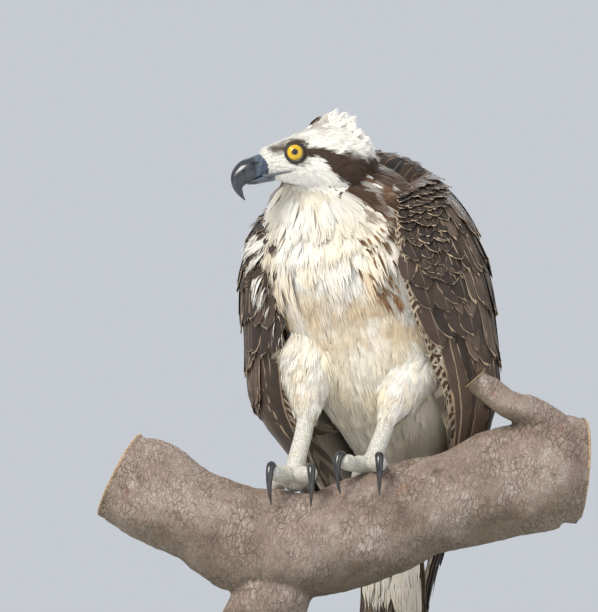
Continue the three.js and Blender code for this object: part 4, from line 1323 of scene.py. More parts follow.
def locks(name, roots, tips, widths, out, colours, uv, rng, material, strips, dashes=None):
    """Long soft locks, each a bundle of narrow strands from a root to a tip."""
    out, widths = unit(out), widths[:, None]
    count = len(roots)
    v = np.linspace(0, 1, LOCK_STATIONS)
    along = unit(tips - roots)
    side = unit(np.cross(out, along))
    u = np.linspace(-1, 1, strips)[None, :] + rng.normal(0, 0.08, (count, strips))
    stretch = rng.uniform(0.8, 1.08, (count, strips))
    reach = np.linalg.norm(tips - roots, axis=-1)[:, None, None]
    places = []
    for share in v:
        spread = 0.35 + 0.65 * math.sin(math.pi * min(share, 0.62) / 1.24)
        spread = spread * (1 - 0.55 * smooth(share, 0.6, 1.0))
        centre = roots[:, None] + along[:, None] * (share * reach * stretch[..., None])
        centre = centre + side[:, None] * (0.5 * widths * u * spread)[..., None]
        bend = np.sin(math.pi * share) * 0.12 * reach
        centre = centre + out[:, None] * (bend + 0.4)
        centre = centre + rng.normal(0, 0.25, centre.shape) * share
        half = np.maximum(0.5 * widths / strips * 2.1 * (1 - share) ** 0.5, 0.02)[..., None]
        places.append(np.stack([centre - side[:, None] * half, centre + side[:, None] * half], 2))
    points = np.stack(places, 2)
    # Painted shade: each strand is painted darker towards its root, as if shaded among the others.
    tone = 0.85 + 0.15 * v
    colour = np.asarray(colours)[:, None, None, None, :] * tone[None, None, :, None, None]
    colour = np.broadcast_to(colour, points.shape)
    if dashes is not None:
        middle = np.exp(-((u / 0.2) ** 2))[:, :, None] * smooth(v, 0.3, 0.45) * (1 - smooth(v, 0.8, 0.95))
        share = (middle * dashes[:, None, None])[:, :, :, None, None]
        colour = colour * (1 - share) + BROWN * share
    facing = out[:, None] + side[:, None] * 0.4 * u[..., None] + LOCK_SHEEN
    spots = [(u * 0.5 + 0.5)[:, :, None, None], v[None, None, :, None]]
    spots = np.stack([np.broadcast_to(spot, points.shape[:4]) for spot in spots], -1)
    thing = fast_mesh(
        name,
        points,
        sheet_triangles(count * strips, LOCK_STATIONS, 2),
        {"OFBake": uv[:, None, None, None] + BAKE_PATCH * spots},
        {"Plume": colour},
        np.broadcast_to(facing[:, :, None, None], points.shape),
    )
    finish_piece(thing, material, "plumage_white")


def head_top(ahead, left):
    """How high the top of the head is."""
    share = np.clip(1 - (left / head_read(ahead, 2)) ** 2, 0, 1)
    return head_read(ahead, 1) + head_read(ahead, 4) * np.sqrt(share)


def crest_out(left):
    """Which way the crest's feathers face, on either side of the crown."""
    return HEAD_LEFT * np.where(left < 0, -1.0, 1.0)[:, None] + 0.25 * HEAD_UP


def build_crest(material):
    """Shaggy tufts from the crown back to the nape, and single raised points over them."""
    rng = np.random.default_rng(SEED + 4)
    count = 130
    ahead = rng.uniform(-60, -16, count)
    left = rng.uniform(-1, 1, count) * mix(6.0, 18.0, smooth(-ahead, 18, 50))
    up = head_top(ahead, left)
    peak = np.exp(-(((ahead + 34) / 11) ** 2))
    reach = rng.uniform(7, 12, count) * mix(0.8, 1.35, peak)
    rise = mix(0.1, 0.48, peak) * rng.uniform(0.2, 1.3, count) * (1 - 0.9 * smooth(-ahead, 44, 56))
    roots = head_point(ahead, left, up - 3.2)
    tips = head_point(ahead - reach, left * 1.15, up + rise * reach - 1.0)
    colour = blend(WHITE, BROWN, 0.8 * smooth(rng.uniform(0, 1, count), 0.85, 0.92))
    uv = bake_place(0.5 + left / 60, -ahead / 70)
    widths = rng.uniform(3.5, 6.5, count)
    locks("crest_tufts", roots, tips, widths, crest_out(left), colour, uv, rng, material, 10)
    # Where each raised point ends, how far it stands up, and how brown it is.
    ends = [(-32, 7.5, 0.9), (-38, 9, 0.45), (-44, 12, 0.05), (-52, 11, 0.0), (-59, 8, 0.15)]
    points = np.repeat(ends, 7, axis=0)
    count = len(points)
    left = rng.uniform(-6, 8, count)
    ahead = points[:, 0] + rng.normal(0, 0.9, count)
    up = head_top(ahead + 13, left * 0.8)
    roots = head_point(ahead + 13, left * 0.8, up - 3.0)
    tips = head_point(ahead, left, up + points[:, 1] * rng.uniform(0.8, 1.0, count))
    colour = blend(WHITE, BROWN, points[:, 2])
    uv = bake_place(0.5 + left / 60, -ahead / 80)
    widths = rng.uniform(3.5, 5.0, count)
    locks("crest_points", roots, tips, widths, crest_out(left), colour, uv, rng, material, 6)


def build_breast_locks(material):
    """Long soft feathers of the throat and breast, shaggy over the edge of the right wing."""
    rng = np.random.default_rng(SEED + 5)
    loft = trunk_loft(0.0)

    def lay(name, s, angle, roots, tips, colour, widths, strips, dashes=None):
        out = loft.point(s, angle, 5.0) - roots
        uv = bake_place(angle / (2 * math.pi) + 0.5, s)
        locks(name, roots, tips, widths, out, colour, uv, rng, material, strips, dashes)

    count = 190
    s = rng.uniform(0.7, 0.95, count)
    angle = rng.uniform(-1.45, 1.05, count)
    roots = loft.point(s, angle, -3.4)
    length = rng.uniform(24, 40, count)
    over = mix(-0.5, 3.0, rng.uniform(0, 1, count))
    tips = loft.point(np.clip(s - length / 330, 0, 1), angle * 1.05, over)
    colour = trunk_colour((roots + tips) / 2, angle)
    dashes = (rng.uniform(0, 1, count) < 0.45 * smooth(angle, 0.25, 0.7)) * rng.uniform(0.7, 1.0, count)
    widths = rng.uniform(7, 11, count)
    lay("breast_locks", s, angle, roots, tips, colour, widths, 13, dashes)

    count = 170
    s = trunk_share(rng.uniform(160, 246, count))
    angle = -rng.uniform(0.85, 1.5, count)
    roots = loft.point(s, angle, -3.0)
    reach = rng.uniform(18, 30, count)
    tips = loft.point(np.clip(s - reach / 380, 0, 1), angle * 1.04, rng.uniform(6, 17, count))
    colour = np.tile(WHITE, (count, 1))
    widths = rng.uniform(9, 13, count)
    dashes = (rng.uniform(0, 1, count) < 0.12) * rng.uniform(0.5, 0.9, count)
    lay("bib_tufts", s, angle, roots, tips, colour, widths, 11, dashes)

    count = 64
    s = trunk_share(rng.uniform(164, 226, count))
    angle = 0.72 + rng.uniform(-0.32, 0.34, count)
    roots = loft.point(s, angle, -0.5)
    reach = rng.uniform(9, 17, count)
    tip_angle = angle + rng.uniform(0.0, 0.07, count)
    tips = loft.point(s - reach / 380, tip_angle, rng.uniform(2.0, 4.0, count))
    colour = blend(BROWN * 0.8, np.array([0.3, 0.16, 0.07]), rng.uniform(0, 1, count))
    lay("breast_streaks", s, angle, roots, tips, colour, rng.uniform(1.0, 2.3, count), 4)


def wing_rows(rng):
    """All the outer feathers of one wing, from the tip's flight feathers up to the shoulder."""
    dark = np.array([0.03, 0.02, 0.015])
    grey = np.array([0.1, 0.07, 0.05])
    pale = np.array([0.42, 0.31, 0.21])
    rows = []

    def lay(s0, t0, s1, t1, width, high, web, fringe, **other):
        rows.append(feather(s0, t0, s1, t1, width, -2.6, high, web, fringe, rng.uniform(), **other))

    # Primaries, fanned under each other at the wing's tip.
    for i in range(8):
        t = 0.08 + 0.78 * i / 7
        web = dark * rng.uniform(0.5, 0.9)
        lay(0.56, t, 1.0 - 0.033 * i, 0.36 + 0.05 * i, 25, -1.0 + 0.95 * i, web, pale * 0.7,
            tilt=0.3, taper=0.4, rim=0.05, tip=0.86)
    # Secondaries.
    for i in range(17):
        t = 0.04 + 0.93 * (i + 0.5) / 17
        tip = 0.7 + 0.13 * i / 17 + rng.uniform(-0.015, 0.015)
        lay(0.36, t, tip, t + 0.01, 22, 2.4, grey * rng.uniform(0.35, 1.2), pale * rng.uniform(0.5, 1.0),
            tilt=1.1, taper=0.15, rim=0.12, tip=0.9)
    # Scapulars and tertials: long and narrow, over the back half of the wing.
    starts = ((0.34, 0.24), (0.25, 0.24), (0.17, 0.22), (0.1, 0.2), (0.04, 0.17))
    for row, (start, reach) in enumerate(starts):
        for i in range(22):
            t = 0.15 + 0.83 * (i + 0.5 * (row % 2)) / 22 + rng.uniform(-0.01, 0.01)
            shift = rng.uniform(-0.02, 0.02)
            lay(start + shift, t, start + reach + shift, t + rng.uniform(0.0, 0.03), 13, 2.7 + 0.15 * row,
                grey * rng.uniform(0.3, 1.25), pale * rng.uniform(0.5, 1.0), tilt=0.9, taper=0.2,
                rim=0.09, tip=0.8)
    # Median coverts along the front edge.
    tiers = [(0.275, 0.17, 4, 25, 3.9), (0.245, 0.13, 4, 24, 4.1), (0.215, 0.1, 4, 23, 4.2)]
    for start, reach, count, width, high in tiers:
        for i in range(count):
            t = 0.23 * (i + rng.uniform(0.1, 0.6)) / count
            shift = rng.uniform(-0.014, 0.014)
            lay(start + shift, t, start + reach + shift, t + 0.015, width, high,
                dark * rng.uniform(0.9, 2.4), pale * rng.uniform(0.5, 0.9), tilt=0.7, rim=0.08, tip=0.6)
    # Lesser coverts: small dark scales up to the shoulder.
    steps = 11
    for k in range(steps):
        start = 0.215 - 0.021 * k
        share = mix(0.22, 0.5, smooth(k, 6, 10))
        count = 4 if k < 7 else 8
        for i in range(count):
            t = share * (i + 0.5 * (k % 2) + rng.uniform(-0.2, 0.3)) / count
            shift = rng.uniform(-0.006, 0.006)
            size = mix(20.0, 17.0, k / steps) * rng.uniform(0.85, 1.12)
            lay(start + shift, t, start + mix(0.078, 0.058, k / steps) + shift,
                t + rng.uniform(-0.015, 0.03), size, 4.2 + rng.uniform(-0.3, 0.6),
                dark * rng.uniform(0.6, 1.9), pale * rng.uniform(0.7, 1.4), tilt=0.5, rim=0.1, tip=0.35)
    return [row for row in rows if row["s0"] > -0.03]


def under_rows(rng):
    """The pale coverts and flight feathers of a wing's underside."""
    cream = np.array([0.6, 0.5, 0.36])
    rows = []
    for k in range(22):
        start = 0.12 + 0.03 * k
        for i in range(3):
            t = 0.09 * i + rng.uniform(-0.015, 0.015)
            shift = rng.uniform(-0.01, 0.01)
            rows.append(
                feather(
                    start + shift, t, start + 0.16 + shift, t + 0.03, 19, -1.5, 1.6 + 0.5 * i,
                    BROWN * rng.uniform(0.6, 1.1), cream * rng.uniform(0.7, 1.0), rng.uniform(),
                    tilt=0.2, rim=0.12, bars=0.8,
                )
            )
    for i in range(9):
        t = 0.1 + 0.56 * i / 8
        rows.append(
            feather(
                0.42, t, 0.97 - 0.02 * i, 0.4 + 0.04 * i, 30, -1.0, -1.0 + 0.35 * i,
                np.array([0.16, 0.13, 0.1]), cream, rng.uniform(),
                taper=0.4, rim=0.06, bars=0.5, tip=0.88,
            )
        )
    return rows


def scale_rows(rng, steps, count, fall, length, width, low, high, web, fringe, **other):
    """Rounded feathers that overlap like roof tiles. The looks are a colour and two limits of shade."""
    rows = []
    for k in range(steps):
        start = 0.86 - fall * k
        for i in range(count):
            t = (i + 0.5 * (k % 2) + rng.uniform(-0.2, 0.2)) / count
            shift = rng.uniform(-0.01, 0.01)
            rows.append(
                feather(
                    start + shift, t, start + length + shift, t + rng.uniform(-0.02, 0.02),
                    rng.uniform(*width), low, rng.uniform(*high), web[0] * rng.uniform(*web[1:]),
                    fringe[0] * rng.uniform(*fringe[1:]), rng.uniform(), **other,
                )
            )
    return rows


def build_mantle(material):
    """Dark rounded feathers with coppery fringes, over the back between the wings."""
    rng = np.random.default_rng(SEED + 9)
    rows = scale_rows(
        rng, 15, 15, 0.061, 0.155, (19, 24), -1.5, (2.4, 3.2), (DARK, 0.3, 1.1), (COPPER, 0.4, 1.1),
        rim=0.11,
    )
    mantle = vanes("mantle_feathers", mantle_surface, rows, rng)
    rows = scale_rows(
        rng, 13, 11, 0.069, 0.15, (19, 25), -3.0, (-0.4, 0.6), (DARK, 0.6, 1.5), (BROWN, 0.8, 1.8),
        tip=0.6,
    )
    back = vanes("back_feathers", back_surface, rows, rng)
    for thing in (mantle, back):
        finish_piece(thing, material, "plumage_brown")


def build_wings(material):
    """Both folded wings, outside and underneath, and the feathers between them."""
    build_mantle(material)
    for side, sign in SIDES:
        rng = np.random.default_rng(SEED + 10 + sign)
        thing = vanes(f"wing_feathers_{side}", wing_outer(sign), wing_rows(rng), rng)
        finish_piece(thing, material, "plumage_brown", f"wing_{side}")
        thing = vanes(f"underwing_feathers_{side}", wing_inner(sign), under_rows(rng), rng)
        finish_piece(thing, material, "plumage_brown")


def build_tail(material, white_material):
    """Twelve tail feathers laid from the outer ones in, and the white coverts under them."""
    rng = np.random.default_rng(SEED + 20)
    rows = []
    count = 12
    for i in range(count):
        share = 2 * i / (count - 1) - 1
        order = (1 - abs(share)) * (count - 1) / 2 + (0.5 if share > 0 else 0)
        web = np.array([0.14, 0.105, 0.08]) * rng.uniform(0.85, 1.15)
        rows.append(
            feather(
                0.12, 0.5 + 0.26 * share, 1.0 - 0.025 * abs(share), 0.5 + 0.42 * share, 21,
                -1.5, 0.7 * order, web, np.array([0.42, 0.33, 0.24]), rng.uniform(), tilt=0.2,
                taper=0.1, rim=0.06, bars=0.35, tip=0.9,
            )
        )
    thing = vanes("tail_feathers", tail_surface, rows, rng, 20)
    finish_piece(thing, material, "plumage_barred", "tail")
    count = 90
    s = rng.uniform(0.14, 0.6, count)
    t = rng.uniform(0.12, 0.88, count)
    roots = tail_surface(s, t, np.full(count, -3.0))
    s_tip = s + rng.uniform(0.1, 0.17, count)
    tips = tail_surface(s_tip, t, -6.5 + rng.uniform(-1.5, 1, count))
    out = np.tile(FORWARD, (count, 1))
    colour = blend(WHITE, CREAM, 0.5 * rng.uniform(0, 1, count))
    widths = rng.uniform(9, 13, count)
    locks("undertail_coverts", roots, tips, widths, out, colour, bake_place(t, s), rng, white_material, 11)


def eye_sphere(name, segments, rings, share, place, axes):
    """A ball on the eye's own axes, and its points as seen from the eye's centre."""
    radius = EYE_RADIUS * MM * share
    thing = primitive("uv_sphere", name, segments=segments, ring_count=rings, radius=radius)
    basis = Matrix(np.column_stack(axes).tolist()).to_4x4()
    thing.data.transform(Matrix.Translation(Vector(place)) @ basis)
    return thing, np.array([v.co for v in thing.data.vertices]) - place


def build_cornea(name, place, axes, material):
    """The clear cap over the front of the eyeball."""
    shell, co = eye_sphere(name, 48, 32, CORNEA_SHARE, place, axes)
    front = co @ axes[2] > 0.35 * EYE_RADIUS * MM
    edit = bmesh.new()
    edit.from_mesh(shell.data)
    drop = [v for v, keep in zip(edit.verts, front) if not keep]
    bmesh.ops.delete(edit, geom=drop, context="VERTS")
    edit.to_mesh(shell.data)
    edit.free()
    smooth_shading(shell)
    finish_piece(shell, material, "iris")


def build_lid(name, place, axes, material):
    """A round bare lid, pale on its inner edge."""
    across, up, turn = axes
    round_eye = np.linspace(0, 2 * math.pi, 64, endpoint=False)
    section = np.linspace(0, 2 * math.pi, 14, endpoint=False)
    round_eye, section = np.meshgrid(round_eye, section, indexing="ij")
    reach = 7.5 + 1.5 * np.cos(section)
    depth = 4.7 + 1.5 * np.sin(section)
    rise = (1 - 0.1 * np.sin(round_eye)) * np.sin(round_eye)
    radial = across * np.cos(round_eye)[..., None] + up * rise[..., None]
    points = place / MM - PLACE + radial * reach[..., None] + turn * depth[..., None]
    points, faces = grid_mesh(np.concatenate([points, points[:1]]), wrap=True)
    ring = new_object(name, points, faces)
    pale = smooth(np.cos(np.tile(section[0], 65)), -0.2, -0.75) * 0.6
    paint(ring.data, "Tint", blend((0.02, 0.016, 0.014), (0.3, 0.29, 0.24), pale))
    smooth_shading(ring)
    finish_piece(ring, material, "horn")


def build_eyes():
    """Both eyes: ball, cornea and lid."""
    iris, cornea, lid = iris_material(), cornea_material(), lid_material()
    for side, sign in SIDES:
        place = to_metres(head_point(EYE_PLACE[0], sign * EYE_PLACE[1], EYE_PLACE[2]))
        turn = unit(HEAD_LEFT * sign * 0.97 + HEAD_ALONG * 0.24)
        up = unit(HEAD_UP - (HEAD_UP @ turn) * turn)
        across = np.cross(up, turn)
        axes = (across, up, turn)
        ball, co = eye_sphere(f"eyeball_{side}", 64, 48, BALL_SHARE, place, axes)
        radius = np.hypot(co @ across, co @ up) / (IRIS_SHARE * EYE_RADIUS * MM)
        radius = np.where(co @ turn > 0, radius, 2.0)
        angle = (np.arctan2(co @ up, co @ across) + math.pi) / (2 * math.pi)
        paint(ball.data, "Eye", np.stack([radius, angle, np.zeros_like(angle)], -1))
        smooth_shading(ball)
        finish_piece(ball, iris, "iris", f"eye_{side}")
        build_cornea(f"cornea_{side}", place, axes, cornea)
        build_lid(f"eyelid_{side}", place, axes, lid)


def build_bill():
    """The two halves of the bill with cere and nostrils, and the bare line of the gape."""
    horn = horn_material("bill_horn", (0.012, 0.014, 0.019), (0.034, 0.04, 0.05), 0.28)
    for name, rows, ends in (("upper", BILL_UPPER, (0.0, 0.4)), ("lower", BILL_LOWER, (0.0, 0.6))):
        loft = Loft(head_rows(rows), HEAD_LEFT, -0.1)
        points, faces = loft.mesh(40, 60, ends)
        ahead, left, up = head_place(points)
        tint = blend(np.ones(3), np.array([2.5, 2.9, 3.2]), 1 - smooth(ahead, 33, 37))
        if name == "upper":
            keel = np.exp(-((left / 2.2) ** 2)) * smooth(up, -22, -10) * 0.7
            nostril = np.hypot((ahead - 34.5) / 5.0, (up + 10.5 - 0.2 * (ahead - 33)) / 1.7)
            dent = (1 - smooth(nostril, 0.5, 1.15)) * 1.6
            cutting_edge = np.exp(-(((up + 24 + 0.5 * (44 - ahead)) / 1.4) ** 2)) * (ahead < 46)
            points = points + keel[:, None] * HEAD_UP
            points = points + (np.sign(left) * (cutting_edge * 0.4 - dent))[:, None] * HEAD_LEFT
            # Painted shade: the nostril slit is tinted almost black, as the shade inside its opening.
            tint = tint * (1 - 0.93 * (1 - smooth(nostril, 0.6, 1.1)))[:, None]
        thing = new_object(f"bill_{name}_horn", points, faces)
        smooth_shading(thing)
        paint(thing.data, "Tint", tint)
        finish_piece(thing, horn, "horn", f"bill_{name}")
    lip = lid_material()
    for side, sign in SIDES:
        ahead = np.array([30.0, 25.0, 20.0, 15.0, 10.5, 7.0])
        width = head_read(ahead, 2) * 0.93
        up = np.interp(ahead, [7.0, 30.0], [-22.3, -21.8])
        centre = head_point(ahead, sign * (width - 0.6), up)
        radius = np.array([1.3, 1.3, 1.2, 1.0, 0.7, 0.35])
        loft = Loft(np.column_stack([centre, radius]), HEAD_UP, 0.0, True)
        points, faces = loft.mesh(14, 24, (0.5, 0.5))
        thing = new_object(f"gape_{side}", points, faces)
        paint(thing.data, "Tint", np.tile([0.12, 0.13, 0.14], (len(points), 1)))
        smooth_shading(thing)
        finish_piece(thing, lip, "horn")


def toe_rows(side, path):
    """A toe's path with its radii, for a loft."""
    palm = np.array(PALMS[side], float)
    sizes = [1.15, 1.0, 0.95, 0.9]
    return [(*(palm + offset), TOE_RADIUS * size) for offset, size in zip(np.array(path, float), sizes)]


def talon_rows(side, path):
    """A talon's hooked path with its radii, and the direction across it."""
    palm = np.array(PALMS[side], float)
    root, end = palm + path[2], palm + path[3]
    out = (end - root) * [1, 1, 0]
    out = out / np.linalg.norm(out)
    reach, drop, size = [-3, 5, 9, 8.5, 4], [2, 4, -6, -17, -28], [0.9, 1, 0.78, 0.48, 0.14]
    rows = [(*(end + out * r + [0, 0, d]), TALON_RADIUS * k) for r, d, k in zip(reach, drop, size)]
    return rows, np.cross(out, [0, 0, 1])


def build_feet():
    """Scaled shanks and toes, and a talon on each toe."""
    scales = scale_material()
    horn = horn_material("talon_horn", (0.012, 0.012, 0.013), (0.045, 0.043, 0.042), 0.22)
    for side, _ in SIDES:
        parts = [Loft(TARSI[side], LEFT).mesh(28, 24, (2.0, 2.0))]
        parts.append(ellipsoid_mesh(PALMS[side], [PALM_RADIUS] * 3, 28, 18))
        for path in TOES[side].values():
            rows = np.array(toe_rows(side, path))
            parts.append(Loft(rows, (1, 0, 0.01), 0.0, True).mesh(24, 26, (2.0, 4.0)))
            for k in (1, 2):
                knuckle = rows[k, :3] + [0, 0, 0.8]
                parts.append(ellipsoid_mesh(knuckle, [rows[k, 3] * 1.1] * 3, 20, 12))
        nodes = [f"tarsus_{side}", f"foot_{side}"] + [f"toe_{side}_{name}" for name in TOES[side]]
        finish_piece(fused(f"foot_skin_{side}", parts, FOOT_CELL, 6), scales, "leg_scales", *nodes)
        for name, path in TOES[side].items():
            rows, across = talon_rows(side, path)
            points, faces = Loft(rows, across, 0.0, True).mesh(24, 40, (1.0, 0.6))
            thing = new_object(f"claw_{side}_{name}", points, faces)
            paint(thing.data, "Tint", np.ones((len(points), 3)))
            smooth_shading(thing)
            finish_piece(thing, horn, "horn", f"talon_{side}_{name}")


def bark_relief(s, angle, depth, waves):
    """Slow waves of the wood under the bark."""
    wave = np.sin(waves * s + 2 * angle) * 0.6 + np.sin(1.7 * waves * s - 3 * angle + 1) * 0.4
    return depth * wave


def limb_mesh(rows, depth, waves, around, steps):
    """Points and faces of one limb of the branch, cut square at both ends."""
    loft = Loft(rows, (0, 1, 0.02), 0.0, True)
    s, angle = np.meshgrid(
        np.linspace(0, 1, steps + 1), np.linspace(0, 2 * math.pi, around, endpoint=False), indexing="ij"
    )
    grid = loft.point(s, angle, bark_relief(s, angle, depth, waves) - 0.6)
    return grid_mesh(grid, wrap=True, ends=True)


def build_perch():
    """The branch with its fork and stub: bark relief, and cut ends with rings."""
    fork, fork_faces = limb_mesh(FORK, 1.8, 14, 64, 60)
    fork[:, 2] = np.maximum(fork[:, 2], FORK_CUT + 0.2)
    parts = [limb_mesh(PERCH, 2.2, 26, 90, 160), (fork, fork_faces), limb_mesh(STUB, 1.2, 12, 40, 60)]
    thing = fused("perch_bark", parts, BARK_CELL, 2, 0.4)
    points = places_of(thing)
    normal = np.zeros(len(points) * 3, np.float32)
    thing.data.vertices.foreach_get("normal", normal)
    normal = normal.reshape(-1, 3)
    ends = []
    for rows, last in ((PERCH, 0), (PERCH, -1), (STUB, -1)):
        table = np.asarray(rows, float)
        inner = table[1] if last == 0 else table[-2]
        axis = unit(table[last, :3] - inner[:3])
        ends.append((table[last, :3], axis, table[last, 3]))
    cut = (points[:, 2] < FORK_CUT + 1.2).astype(float)
    ring = np.hypot(points[:, 0] + 96, points[:, 1] - 4) * MM
    hollow = np.zeros(len(points))
    for centre, axis, radius in ends:
        rel = points - centre
        level = rel @ axis
        near = (level > -1.6) & (np.linalg.norm(rel, axis=1) < radius * 1.3)
        cut = np.where(near, 1.0, cut)
        away = np.linalg.norm(rel - level[:, None] * axis, axis=1)
        ring = np.where(near, away * MM, ring)
        if radius < 20:
            # The stub's end is sunk into a hollow with painted shade: almost black in its middle, half
            # dark at its rim and just round it.
            hollow = np.where(near, 1 - 0.5 * smooth(away, radius * 0.75, radius * 0.95), hollow)
            sink = np.where(near, 6.0 * (1 - smooth(away, radius * 0.5, radius * 0.75)), 0)
            points = points - sink[:, None] * axis
    rough = lattice(points, 7.0, 41) + 0.6 * lattice(points, 3.4, 42) + 1.4 * lattice(points, 19.0, 43)
    knots = smooth(lattice(points, 26.0, 44), 0.7, 0.9)
    shift = (rough / 3.0 - 1.0) * 3.4 * (1 - cut) + 1.2 * knots * (1 - cut)
    near_feet = np.zeros(len(points))
    for palm in PALMS.values():
        gap = np.linalg.norm(points - np.array(palm), axis=1)
        near_feet = np.maximum(near_feet, 1 - smooth(gap, 34, 52))
    shift = np.where(shift > 0, shift * (1 - near_feet), shift * (1 - 0.45 * near_feet))
    points = points + normal * shift[:, None]
    thing.data.vertices.foreach_set("co", to_metres(points).astype(np.float32).ravel())
    thing.data.update()
    paint(thing.data, "Cut", np.stack([cut, ring, hollow], -1))
    # Painted shade: how far each point faces down, for darkening the bark's underside.
    under = smooth(-normal[:, 2], 0.1, 0.8)
    paint(thing.data, "UnderShade", np.stack([under] * 3, -1))
    finish_piece(thing, bark_material(), "bark", "perch_branch")


def stand_cylinder(name, vertices, radius, depth, place, bevel, segments, material, *nodes):
    """A turned part of the stand, with its edges rounded off."""
    thing = primitive("cylinder", name, vertices=vertices, radius=radius, depth=depth, location=place)
    bpy.ops.object.transform_apply(location=True)
    apply_modifier(thing, "BEVEL", width=bevel, segments=segments, limit_method="ANGLE")
    only(thing)
    bpy.ops.object.shade_smooth_by_angle(angle=SHARP_EDGE)
    finish_piece(thing, material, "stand_paint", *nodes)


def build_stand(colour):
    """Paints the base and makes the post with its collar."""
    finish = stand_material(colour)
    for node in ("stand_base", "stand_rod"):
        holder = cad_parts[node]
        holder.data.materials.clear()
        holder.data.materials.append(finish)
    low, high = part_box("stand_rod")
    centre = (low + high) / 2
    radius = (high.x - low.x) / 2
    height = COLLAR_HEIGHT * MM
    foot = (centre.x, centre.y, BASE_HIGH.z + height / 2)
    stand_cylinder("stand_collar", 64, radius * 1.7, height, foot, 0.0012, 4, finish)
    stand_cylinder("stand_post", 96, radius, high.z - low.z, centre, 0.0006, 3, finish, "stand_rod")


# Camera: the target is a place over the perch, and the lens follows the photo's framing.
CAMERA_TARGET = np.array([-60.35, 0.0, 152.15])
CAMERA_DISTANCE = 2300.0
CAMERA_ELEVATION = math.radians(-7.5)
FOCAL_PIXELS = 2705.9
LONG_SIDE = 612.0
SENSOR = 36.0
# Lamps: name, place in metres, side, power and colour.
LAMPS = (
    ("key_light", (-1.7, -2.4, 2.4), 1.4, 120, (1.0, 0.95, 0.87)),
    ("fill_light", (2.4, -2.0, 1.2), 2.6, 26, (0.9, 0.95, 1.0)),
    ("rim_light", (0.6, 2.3, 2.2), 2.0, 60, (0.97, 0.98, 1.0)),
)
LAMP_TARGET = (0.0, 0.0, 0.32)


def build_stage():
    """The floor, the camera of the photo's framing, the lamps and the sky's light."""
    floor = primitive("plane", "floor", size=14, location=(0, 2.0, 0))
    floor.data.materials.append(floor_material())
    camera = linked("camera", bpy.data.cameras.new("camera"))
    back = np.array([0, -math.cos(CAMERA_ELEVATION), math.sin(CAMERA_ELEVATION)])
    camera.location = to_metres(CAMERA_TARGET + back * CAMERA_DISTANCE)
    camera.rotation_euler = Vector(-back).to_track_quat("-Z", "Y").to_euler()
    camera.data.sensor_width = SENSOR
    camera.data.lens = FOCAL_PIXELS * SENSOR / LONG_SIDE
    camera.data.clip_start, camera.data.clip_end = 0.05, 60
    bpy.context.scene.camera = camera
    for name, place, size, power, colour in LAMPS:
        lamp = linked(name, bpy.data.lights.new(name, "AREA"))
        lamp.data.size = size
        lamp.data.energy = power
        lamp.data.color = colour
        lamp.location = place
        lamp.rotation_euler = (Vector(LAMP_TARGET) - Vector(place)).to_track_quat("-Z", "Y").to_euler()
    world = bpy.data.worlds.new("studio")
    world.use_nodes = True
    background = world.node_tree.nodes["Background"].inputs
    background["Color"].default_value = (0.79, 0.83, 0.89, 1)
    background["Strength"].default_value = 0.72
    bpy.context.scene.world = world
    bpy.context.scene.view_settings.view_transform = "Standard"


# The add-on's own classes.


class OspreySettings(bpy.types.PropertyGroup):
    """What can be set before the osprey is built."""

    feather_spacing: bpy.props.FloatProperty(
        name="Feather Spacing",
        description="Distance between the roots of the body's feathers, in millimetres",
        default=4.6,
        min=3.0,
        max=12.0,
    )
    stand_colour: bpy.props.FloatVectorProperty(
        name="Stand Colour",
        description="Paint of the base and the rod",
        subtype="COLOR",
        size=3,
        default=(0.035, 0.035, 0.038),
        min=0.0,
        max=1.0,
    )


def settings():
    """The scene's own settings for the osprey."""
    return bpy.context.scene.osprey


def material_once(name, make):
    """The material of that name, made if it isn't there yet."""
    return bpy.data.materials.get(name) or make()


class OSPREY_OT_skin(bpy.types.Operator):
    """Builds the one skin under all the feathers"""

    bl_idname = "osprey.skin"
    bl_label = "Skin"

    def execute(self, context):
        skin = build_skin()
        nodes = ("torso", "neck", "head", "thigh_left", "thigh_right")
        finish_piece(skin, skin_material(), "plumage_white", *nodes)
        return {"FINISHED"}


class OSPREY_OT_body_plumage(bpy.types.Operator):
    """Sets the feathers of the breast, belly, neck, mantle and thighs"""

    bl_idname = "osprey.body_plumage"
    bl_label = "Body Plumage"

    def execute(self, context):
        plume = material_once("plumage", plume_material)
        spacing = settings().feather_spacing
        build_body_plumes(plume, spacing)
        build_mantle_plumes(plume, spacing)
        build_thigh_plumes(plume, spacing)
        build_breast_locks(plume)
        return {"FINISHED"}


class OSPREY_OT_head_plumage(bpy.types.Operator):
    """Sets the small feathers of the head and the crest"""

    bl_idname = "osprey.head_plumage"
    bl_label = "Head Plumage"

    def execute(self, context):
        plume = material_once("plumage", plume_material)
        build_head_plumes(plume, settings().feather_spacing)
        build_crest(plume)
        return {"FINISHED"}


class OSPREY_OT_wings(bpy.types.Operator):
    """Lays the coverts and flight feathers of both wings"""

    bl_idname = "osprey.wings"
    bl_label = "Wings"

    def execute(self, context):
        build_wings(material_once("vanes", vane_material))
        return {"FINISHED"}


class OSPREY_OT_tail(bpy.types.Operator):
    """Lays the tail feathers and their coverts"""

    bl_idname = "osprey.tail"
    bl_label = "Tail"

    def execute(self, context):
        build_tail(material_once("vanes", vane_material), material_once("plumage", plume_material))
        return {"FINISHED"}


class OSPREY_OT_eyes(bpy.types.Operator):
    """Makes the eyes with their corneas and lids"""

    bl_idname = "osprey.eyes"
    bl_label = "Eyes"

    def execute(self, context):
        build_eyes()
        return {"FINISHED"}


class OSPREY_OT_bill(bpy.types.Operator):
    """Makes the hooked bill with its cere, nostrils and gape"""

    bl_idname = "osprey.bill"
    bl_label = "Bill"

    def execute(self, context):
        build_bill()
        return {"FINISHED"}


class OSPREY_OT_feet(bpy.types.Operator):
    """Makes the scaled feet and the talons"""

    bl_idname = "osprey.feet"
    bl_label = "Feet"

    def execute(self, context):
        build_feet()
        return {"FINISHED"}


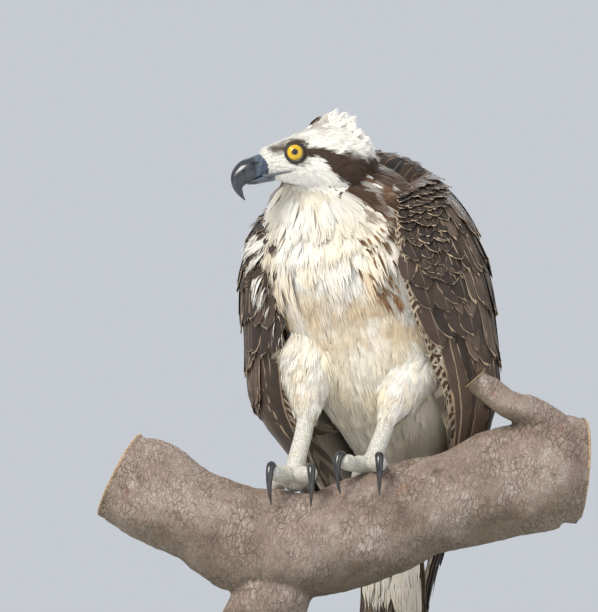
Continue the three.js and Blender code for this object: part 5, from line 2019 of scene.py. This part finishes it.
class OSPREY_OT_perch(bpy.types.Operator):
    """Makes the branch with its bark and cut ends"""

    bl_idname = "osprey.perch"
    bl_label = "Perch"

    def execute(self, context):
        build_perch()
        return {"FINISHED"}


class OSPREY_OT_stand(bpy.types.Operator):
    """Finishes the display base and its rod"""

    bl_idname = "osprey.stand"
    bl_label = "Stand"

    def execute(self, context):
        build_stand(tuple(settings().stand_colour))
        return {"FINISHED"}


class OSPREY_OT_stage(bpy.types.Operator):
    """Adds the floor, the soft lights and the camera"""

    bl_idname = "osprey.stage"
    bl_label = "Stage"

    def execute(self, context):
        build_stage()
        return {"FINISHED"}


OPERATORS = (
    OSPREY_OT_skin,
    OSPREY_OT_body_plumage,
    OSPREY_OT_head_plumage,
    OSPREY_OT_wings,
    OSPREY_OT_tail,
    OSPREY_OT_eyes,
    OSPREY_OT_bill,
    OSPREY_OT_feet,
    OSPREY_OT_perch,
    OSPREY_OT_stand,
    OSPREY_OT_stage,
)


class OSPREY_PT_panel(bpy.types.Panel):
    """Lists the sizes and the building steps"""

    bl_idname = "OSPREY_PT_panel"
    bl_label = "Osprey"
    bl_space_type = "VIEW_3D"
    bl_region_type = "UI"
    bl_category = "Osprey"

    def draw(self, context):
        self.layout.prop(context.scene.osprey, "feather_spacing")
        self.layout.prop(context.scene.osprey, "stand_colour")
        for operator in OPERATORS:
            self.layout.operator(operator.bl_idname)


CLASSES = (OspreySettings, *OPERATORS, OSPREY_PT_panel)


def register():
    for made in CLASSES:
        bpy.utils.register_class(made)
    bpy.types.Scene.osprey = bpy.props.PointerProperty(type=OspreySettings)


def unregister():
    del bpy.types.Scene.osprey
    for made in reversed(CLASSES):
        bpy.utils.unregister_class(made)


def main():
    """Builds the stage and every piece."""
    register()
    bpy.ops.osprey.stage()
    bpy.ops.osprey.skin()
    bpy.ops.osprey.body_plumage()
    bpy.ops.osprey.head_plumage()
    bpy.ops.osprey.wings()
    bpy.ops.osprey.tail()
    bpy.ops.osprey.eyes()
    bpy.ops.osprey.bill()
    bpy.ops.osprey.feet()
    bpy.ops.osprey.perch()
    bpy.ops.osprey.stand()


if __name__ == "__main__":
    main()
